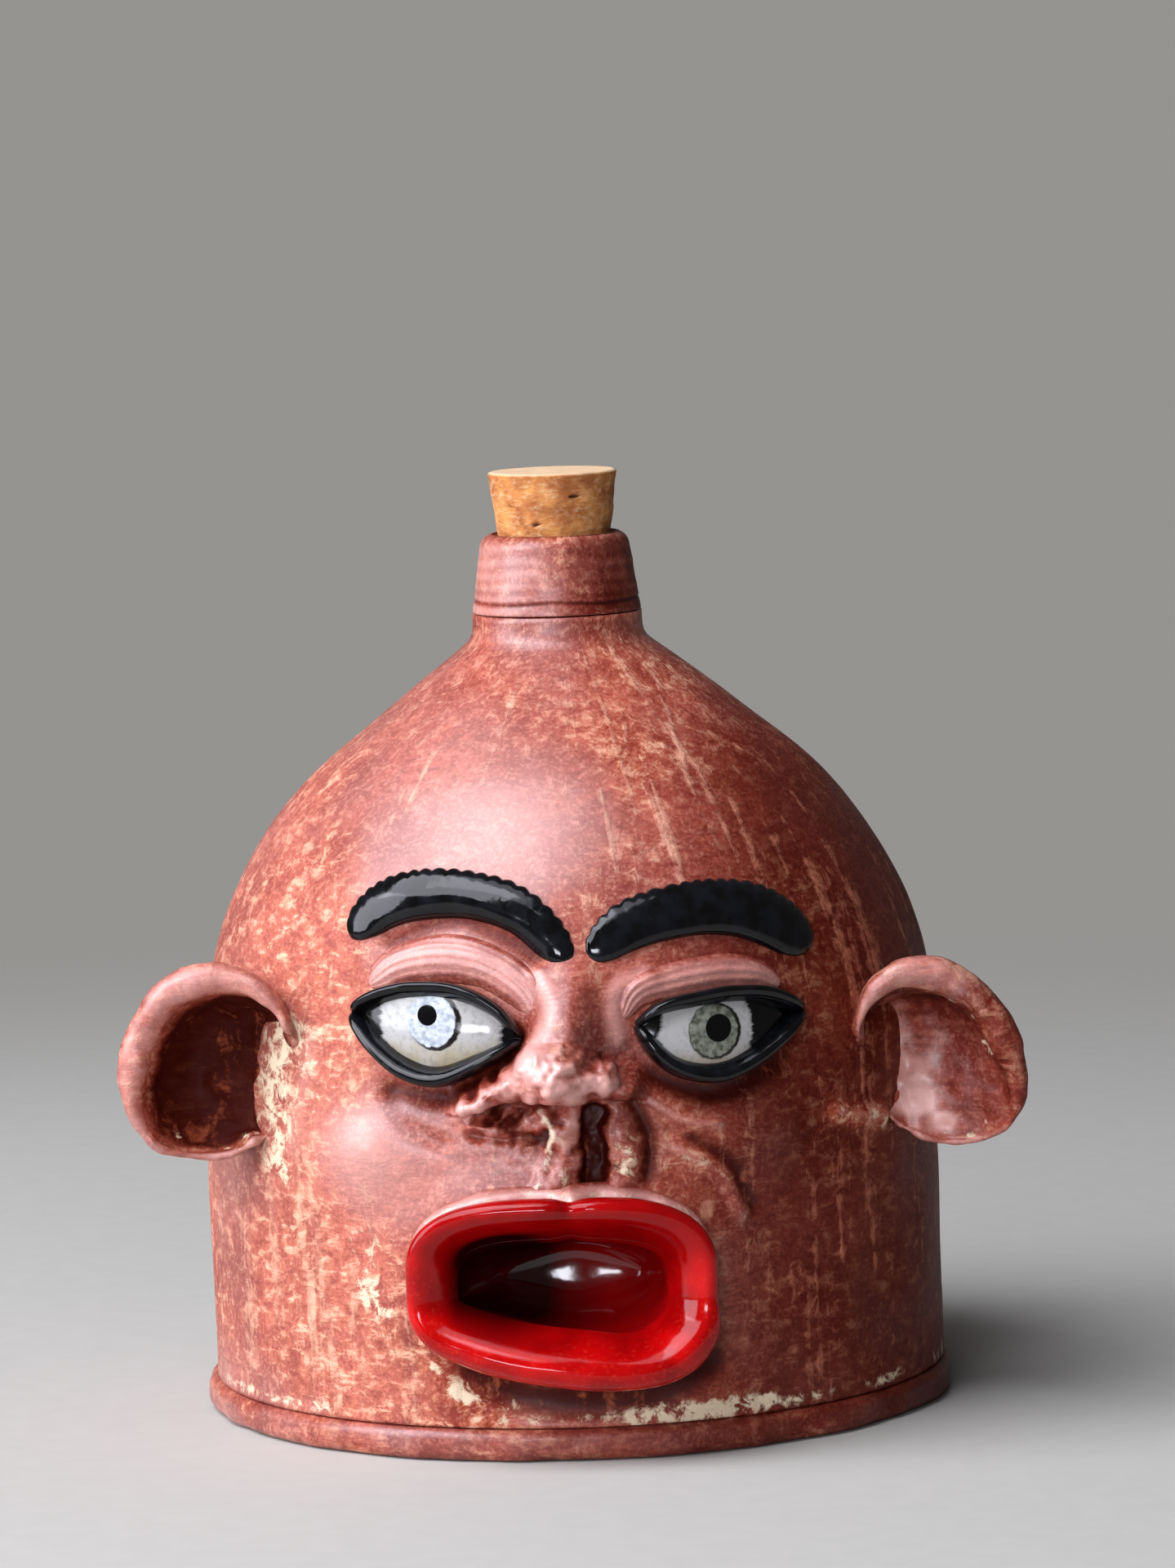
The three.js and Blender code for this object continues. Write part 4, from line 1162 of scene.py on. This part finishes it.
# %% Redware
def redware(name, deep, middle, pale, scratch_share):
    """Mottled clay: clouds mix two reds, scraped parts show orange patches, flecks and scratches.

    The tone mark that a piece carries then paints light and shade, pale above 0 and dark, deeper red
    below it, and its slip mark lays slip on. Wax gives a soft coat that is strongest where the wall
    wasn't scraped."""
    finish, tree, place = new_finish(name)
    streaks, combing, clouds, patches, grain = clay_patterns(tree, place)
    tone, slip, scrape, scratch = (node(tree, "Attribute", {}, out="Fac", attribute_name=mark)
                                   for mark in ("tone", "slip", "scrape", "scratch"))
    fleck = node(tree, "Math", {0: combing, 1: patches}, operation="MULTIPLY")
    ragged = streaks
    for pattern, share in ((patches, 0.75), (scrape, 0.1), (scratch, 0.2)):
        ragged = node(tree, "Math", {0: pattern, 1: share, 2: ragged}, operation="MULTIPLY_ADD")
    scratched = node(tree, "MapRange", {"Value": ragged, "From Min": 1.0, "From Max": 1.22,
                                        "To Max": scratch_share})
    base = coats(tree, paint(deep), [
        (clouds, 0.36, 0.64, 1, middle),
        (patches, 0.5, 0.72, 0.7, pale),
        (combing, 0.52, 0.36, 0.75, deep),
        (grain, 0.5, 0.72, 0.5, pale),
        (grain, 0.5, 0.3, 0.5, deep),
        (patches, 0.42, 0.66, 0.8, "#cd7452", scrape),
        (fleck, 0.27, 0.38, 0.9, "#eebc9a", scrape),
        # The two tone coats are painted light and shade: pale pink above 0, dark red-brown below 0.
        (tone, 0.1, 1.0, 0.75, "#e8ada3"),
        (tone, -0.1, -1.0, 0.92, "#3a0b03"),
        (scratched, 0, 1, 1, "#e4a98e"),
    ])
    # Below 0 the tone also multiplies in a warm red, deepening the painted shade.
    shade_deepening = node(tree, "MapRange", {"Value": tone, "From Min": -0.1, "From Max": -1.0})
    base = node(tree, "Mix", {share_in: shade_deepening, base_in: base, coat_in: paint("#da9576")},
                out=mixed_out, data_type="RGBA", blend_type="MULTIPLY")
    crumbs = node(tree, "MapRange", {"Value": patches, "From Min": 0.38, "From Max": 0.62,
                                     "To Min": 0.2, "To Max": 1.4})
    crumbs = node(tree, "Math", {0: crumbs, 1: slip}, operation="MULTIPLY")
    base = coats(tree, base, [(crumbs, 0.42, 0.85, 0.95, "#e2cfb0")])
    relief = scratched
    for pattern, share in ((patches, 0.9), (combing, 0.8)):
        relief = node(tree, "Math", {0: pattern, 1: share, 2: relief}, operation="MULTIPLY_ADD")
    bump = node(tree, "Bump", {"Height": relief, "Strength": 0.6, "Distance": 0.5 * mm})
    satin = node(tree, "MapRange", {"Value": scrape, "To Min": 0.42, "To Max": 0.62})
    waxed = node(tree, "MapRange", {"Value": scrape, "From Min": 0.1, "From Max": 0.7,
                                    "To Min": 1.0, "To Max": 0.0})
    dulled = node(tree, "MapRange", {"Value": tone, "From Min": -0.5, "From Max": 0.0,
                                     "To Min": 0.2, "To Max": 1.0})
    waxed = node(tree, "Math", {0: waxed, 1: dulled}, operation="MULTIPLY")
    wire(tree, tree.nodes["Principled BSDF"], {
        "Base Color": base, "Roughness": satin, "Normal": bump, "Coat Weight": waxed,
        "Specular IOR Level": 0.1, "Coat Roughness": 0.42, "Coat IOR": 1.75})
    print(name, "nodes:", len(tree.nodes))
    return finish


wall_clay = redware("redware_scraped", "#7a2518", "#ae5442", "#d78f7d", 0.75)
thrown_clay = redware("redware_thrown", "#74241a", "#a6503f", "#cc8371", 0.15)

# %% [markdown]
# ## Glazes
# The painted parts are covered with glossy glazes, a skin of coloured glass about a tenth of a
# millimetre thick. Black pools level and shows the room like a mirror. Red is uneven, brighter where
# it is thin over a crest, and painted darker as shade off the crests and deep in the mouth. White
# carries the painted eye: iris and pupil are drawn from the distances that the ball holds, and the
# white is painted darker along the lids as shade. A separate layer of clear glass could give the
# shine. The shader's own gloss was chosen, because it stays with the model when it is exported.

# %% What all glazes share
def glassy(finish, base, waves, gloss, strength, depth, mirror):
    """Wire a glaze: its colour, a gloss and a bump of `depth` mm that follow slow waves, its mirror."""
    tree = finish.node_tree
    roughness = node(tree, "MapRange", {"Value": waves, "From Min": 0.3, "From Max": 0.7,
                                        "To Min": gloss[0], "To Max": gloss[1]})
    bump = node(tree, "Bump", {"Height": waves, "Strength": strength, "Distance": depth * mm})
    wire(tree, tree.nodes["Principled BSDF"], {"Base Color": base, "Roughness": roughness,
                                               "Normal": bump, "Specular IOR Level": mirror})
    print(finish.name, "nodes:", len(tree.nodes))


# %% Black glaze
def black_glaze():
    """Nearly black glass with a slow waviness, which breaks its reflections as on a dipped glaze."""
    finish, tree, place = new_finish("black_glaze")
    waves = node(tree, "TexNoise", {"Vector": place, "Scale": 1 / (3.5 * mm), "Detail": 2})
    base = coats(tree, paint("#060607"), [(waves, 0.4, 0.65, 1, "#101116")])
    glassy(finish, base, waves, gloss=(0.05, 0.16), strength=0.25, depth=0.4, mirror=0.36)
    return finish


black = black_glaze()

# %% Red glaze
def red_glaze(name, mirror):
    """Deep red glass, orange-red in specks over the crests, where it runs thin; the crest mark paints
    it darker off the crests and nearly black deep inside, as shade.

    `mirror` is how strongly it shines: pooled in a hollow it lies thicker and shines more."""
    finish, tree, place = new_finish(name)
    crest = node(tree, "Attribute", {}, out="Fac", attribute_name="crest")
    clouds = node(tree, "TexNoise", {"Vector": place, "Scale": 1 / (7 * mm), "Detail": 3})
    specks = node(tree, "TexNoise", {"Vector": place, "Scale": 1 / (0.8 * mm), "Detail": 3})
    base = coats(tree, paint("#920204"), [
        (clouds, 0.35, 0.65, 1, "#bc0508"),
        # These two coats are painted shade.
        (crest, 0.9, -0.9, 1, "#740204"),
        (crest, -0.9, -1.7, 0.95, "#160001"),
        (specks, 0.55, 0.75, 0.3, "#e0402c", crest),
    ])
    glassy(finish, base, clouds, gloss=(0.07, 0.15), strength=0.2, depth=0.4, mirror=mirror)
    return finish


red = red_glaze("red_glaze", 0.26)
pooled_red = red_glaze("red_glaze_pooled", 0.5)

# %% White glaze with the painted eye
def white_glaze(name, iris_pale, iris_deep):
    """White glass, creamy low down; a dark ring, a mottled iris and a black pupil lie over it in turn.

    Their edges wander with the mottling, and black runs in from the lids in level streaks, which
    next to the lids is painted shade."""
    finish, tree, place = new_finish(name)
    marks = {mark: node(tree, "Attribute", {}, out="Fac", attribute_name=mark)
             for mark in ("iris", "limbus", "pupil", "black", "lower")}
    mottle = node(tree, "TexNoise", {"Vector": place, "Scale": 1 / (1.1 * mm), "Detail": 4})
    clouds = node(tree, "TexNoise", {"Vector": place, "Scale": 1 / (4 * mm), "Detail": 3})
    wander = node(tree, "Math", {0: mottle, 1: 0.16, 2: -0.08}, operation="MULTIPLY_ADD")
    edge = {mark: node(tree, "Math", {0: marks[mark], 1: wander}, operation="ADD")
            for mark in ("limbus", "iris", "pupil")}
    creamy = node(tree, "Math", {0: marks["lower"], 1: clouds}, operation="MULTIPLY")
    level = node(tree, "VectorMath", {0: place, 1: (0.3, 0.3, 1.4)}, operation="MULTIPLY")
    runs = node(tree, "TexNoise", {"Vector": level, "Scale": 1 / (1.2 * mm), "Detail": 3})
    black_run_and_lid_shade = node(tree, "Math", {0: runs, 1: 1.2, 2: marks["black"]}, operation="MULTIPLY_ADD")
    iris = coats(tree, paint(iris_pale), [(mottle, 0.4, 0.62, 1, iris_deep)])
    base = coats(tree, paint("#adacaa"), [
        (creamy, 0.15, 0.6, 1, "#a29478"),
        (mottle, 0.5, 0.7, 0.5, "#7d7b79"),
        (edge["limbus"], 1.03, 0.97, 1, "#1c1614"),
        (edge["iris"], 1.03, 0.97, 1, iris),
        (edge["pupil"], 1.03, 0.97, 1, "#060607"),
        (black_run_and_lid_shade, 0.95, 1.3, 1, "#0a0a0b"),
    ])
    glassy(finish, base, clouds, gloss=(0.07, 0.15), strength=0.15, depth=0.3, mirror=0.36)
    return finish


grey_eye = white_glaze("white_glaze_grey_eye", "#c3c9d1", "#98a0a9")
green_eye = white_glaze("white_glaze_green_eye", "#84877a", "#4e5146")


# %% [markdown]
# ## Cork
# Cork is bark: warm tan, clouded, with dark pores and fine lighter flecks. It is quite matt. Pores
# could be drawn by the finish alone, but they would stay flat. They are pressed into the mesh already,
# so the finish only has to darken them and grain what lies between.

# %% Cork
def cork_finish(name):
    """Tan clouds, flecks a millimetre long, a paler cut face on top, and dark brown in the pores."""
    finish, tree, place = new_finish(name)
    pore, cut = (node(tree, "Attribute", {}, out="Fac", attribute_name=mark)
                 for mark in ("pore", "cut"))
    clouds = node(tree, "TexNoise", {"Vector": place, "Scale": 1 / (4 * mm), "Detail": 5})
    level = node(tree, "VectorMath", {0: place, 1: (0.5, 0.5, 1.2)}, operation="MULTIPLY")
    flecks = node(tree, "TexNoise", {"Vector": level, "Scale": 1 / (0.9 * mm), "Detail": 4,
                                     "Roughness": 0.7})
    base = coats(tree, paint("#a05c2d"), [
        (clouds, 0.36, 0.66, 1, "#d3904f"),
        (flecks, 0.5, 0.75, 0.5, "#efcfa3"),
        (flecks, 0.42, 0.28, 0.6, "#7b4726"),
        (cut, 0, 1, 0.6, "#ead4b2"),
        (pore, 0, 1, 1, "#4e2a16"),
    ])
    bump = node(tree, "Bump", {"Height": flecks, "Strength": 0.6, "Distance": 0.4 * mm})
    wire(tree, tree.nodes["Principled BSDF"], {
        "Base Color": base, "Normal": bump, "Roughness": 0.85, "IOR": 1.4})
    print(name, "nodes:", len(tree.nodes))
    return finish


bark = cork_finish("cork_bark")


# %% [markdown]
# ## Dressing the jug
# Each piece takes its finish, stands for its plain solid and rides the body that the solid belongs
# to, so the cork lifts out and everything else stays together. This could be said piece by piece. One
# table was chosen, because a row that is missing or wrong is then easy to see.

# %% Dress every piece
dressed = [
    (body, "jug_body", "redware", wall_clay),
    (foot, "foot_slab", "redware", thrown_clay),
    (collar, "neck_collar", "redware", thrown_clay),
    (cork, "cork_stopper", "cork", bark),
    (lips, "lips", "red_glaze", red),
    (cup, "mouth_cup", "red_glaze", pooled_red),
    (coil, "lip_coil", "redware", wall_clay),
    (nose, "nose", "redware", wall_clay),
    (eyeballs["left"], "left_eyeball", "white_glaze", grey_eye),
    (eyeballs["right"], "right_eyeball", "white_glaze", green_eye),
]
dressed += [(piece, name, "black_glaze", black) for name, piece in (lid_pieces | brow_pieces).items()]
dressed += [(piece, name, "redware", wall_clay) for name, piece in (fold_pieces | ear_pieces).items()]
for piece, solid, slot, finish in dressed:
    piece.data.materials.append(finish)
    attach(piece, "stopper" if solid == "cork_stopper" else "jug")
    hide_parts(solid)
print("dressed", len(dressed), "pieces")


# %% [markdown]
# ## The studio
# A plain pale floor fades into a grey surround. A backdrop could be built, but its edge would show
# from other sides, so the floor turns clear further out. The light falls as through a wide window: a
# large soft panel high at the left, one lower down beside it, a little from above, and a narrow strip
# in front, low enough to shine into the open mouth. The right side stays in shade, so that the
# modelling of the face shows.

# %% Floor
floor_level = -0.15
floor_rings, floor_columns = 30, 64


def pale_floor():
    """Pale matt floor near the jug, turning clear further out, so that no horizon shows."""
    finish, tree, place = new_finish("pale_floor")
    away = node(tree, "VectorMath", {0: place}, out="Value", operation="LENGTH")
    far = node(tree, "MapRange", {"Value": away, "From Min": 0.30, "From Max": 0.75},
               interpolation_type="SMOOTHSTEP")
    grain = node(tree, "TexNoise", {"Vector": place, "Scale": 1 / (6 * mm)})
    base = coats(tree, paint("#adaba5"), [(grain, 0, 1, 1, "#b5b3ad")])
    shader = tree.nodes["Principled BSDF"]
    wire(tree, shader, {"Base Color": base, "Roughness": 0.8})
    clear = node(tree, "BsdfTransparent", {})
    mixed = node(tree, "MixShader", {0: far, 1: shader.outputs[0], 2: clear})
    wire(tree, tree.nodes["Material Output"], {"Surface": mixed})
    return finish


floor_reach = np.linspace(900, 20, floor_rings)[:, None]
floor_turn = np.linspace(0, 2 * np.pi, floor_columns, endpoint=False)
floor_grid = np.stack([floor_reach * np.cos(floor_turn), floor_reach * np.sin(floor_turn),
                       np.full((floor_rings, floor_columns), floor_level)], axis=-1)
floor = surface("floor", floor_grid, last_tip=(0, 0, floor_level))
floor.data.materials.append(pale_floor())

# %% Surround
soft_fill, shine_fill, seen_grey = 0.05, 0.15, 0.42

surround = bpy.data.worlds.new("surround")
surround.use_nodes = True
bpy.context.scene.world = surround
air = surround.node_tree
to_camera, clear_ray, glossy_ray = (node(air, "LightPath", {}, out=f"Is {kind} Ray")
                                    for kind in ("Camera", "Transmission", "Glossy"))
seen = node(air, "Math", {0: to_camera, 1: clear_ray}, operation="MAXIMUM")
fill = node(air, "MapRange", {"Value": glossy_ray, "To Min": soft_fill, "To Max": shine_fill})
strength = node(air, "Mix", {"Factor": seen, "A": fill, "B": seen_grey})
wire(air, air.nodes["Background"], {"Color": paint("#dcdad6"), "Strength": strength})
print("surround nodes:", len(air.nodes))

# %% Lamps
def soft_light(name, place, aim, width, height, power):
    """A rectangular lamp at a place, turned to face a point; sizes in metres, power in watts."""
    lamp = bpy.data.lights.new(name, "AREA")
    lamp.shape = "RECTANGLE"
    lamp.size = width
    lamp.size_y = height
    lamp.energy = power
    lamp.color = paint("#f3f5ff")[:3]
    holder = bpy.data.objects.new(name, lamp)
    holder.location = place
    way = np.array(aim) - np.array(place)
    flat = math.hypot(way[0], way[1])
    holder.rotation_euler = (math.atan2(flat, -way[2]), 0, math.atan2(-way[0], way[1]))
    bpy.context.scene.collection.objects.link(holder)
    print(name, "lamp:", power, "W")


face_middle = (0, 0, 0.08)
soft_light("window", (-0.74, -0.48, 1.11), face_middle, 1.3, 1.1, 29)
soft_light("skylight", (-0.22, -0.42, 1.15), face_middle, 0.7, 0.7, 4)
soft_light("side", (-1.20, -0.32, 0.40), face_middle, 0.8, 0.75, 13)
soft_light("front", (-0.30, -1.22, 0.27), face_middle, 0.5, 0.14, 6)

# %% [markdown]
# ## The camera
# The photograph was taken from a good metre away, a little above the face, with a long lens and a
# slightly turned frame. A camera can be set by eye in the viewport. Here its place, turn and focal
# length were found by laying the model over the picture, and are written down.

# %% Camera
picture_height = 1920
focal_pixels = 8784.3
camera_place = (0.0, -1.3248, 0.25649)
yaw, pitch, frame_turn = math.radians(0.2), math.radians(6.15), math.radians(-1.86)

camera_data = bpy.data.cameras.new("camera")
camera = bpy.data.objects.new("camera", camera_data)
camera_data.sensor_width = 36
camera_data.lens = focal_pixels / picture_height * camera_data.sensor_width
camera.location = camera_place
camera.rotation_mode = "XYZ"
camera.rotation_euler = (math.pi / 2 - pitch, 0, -yaw)
camera.rotation_euler.rotate_axis("Z", frame_turn)
bpy.context.scene.collection.objects.link(camera)
bpy.context.scene.camera = camera
bpy.context.scene.view_settings.view_transform = "Standard"
print("lens in mm:", round(camera_data.lens, 1))
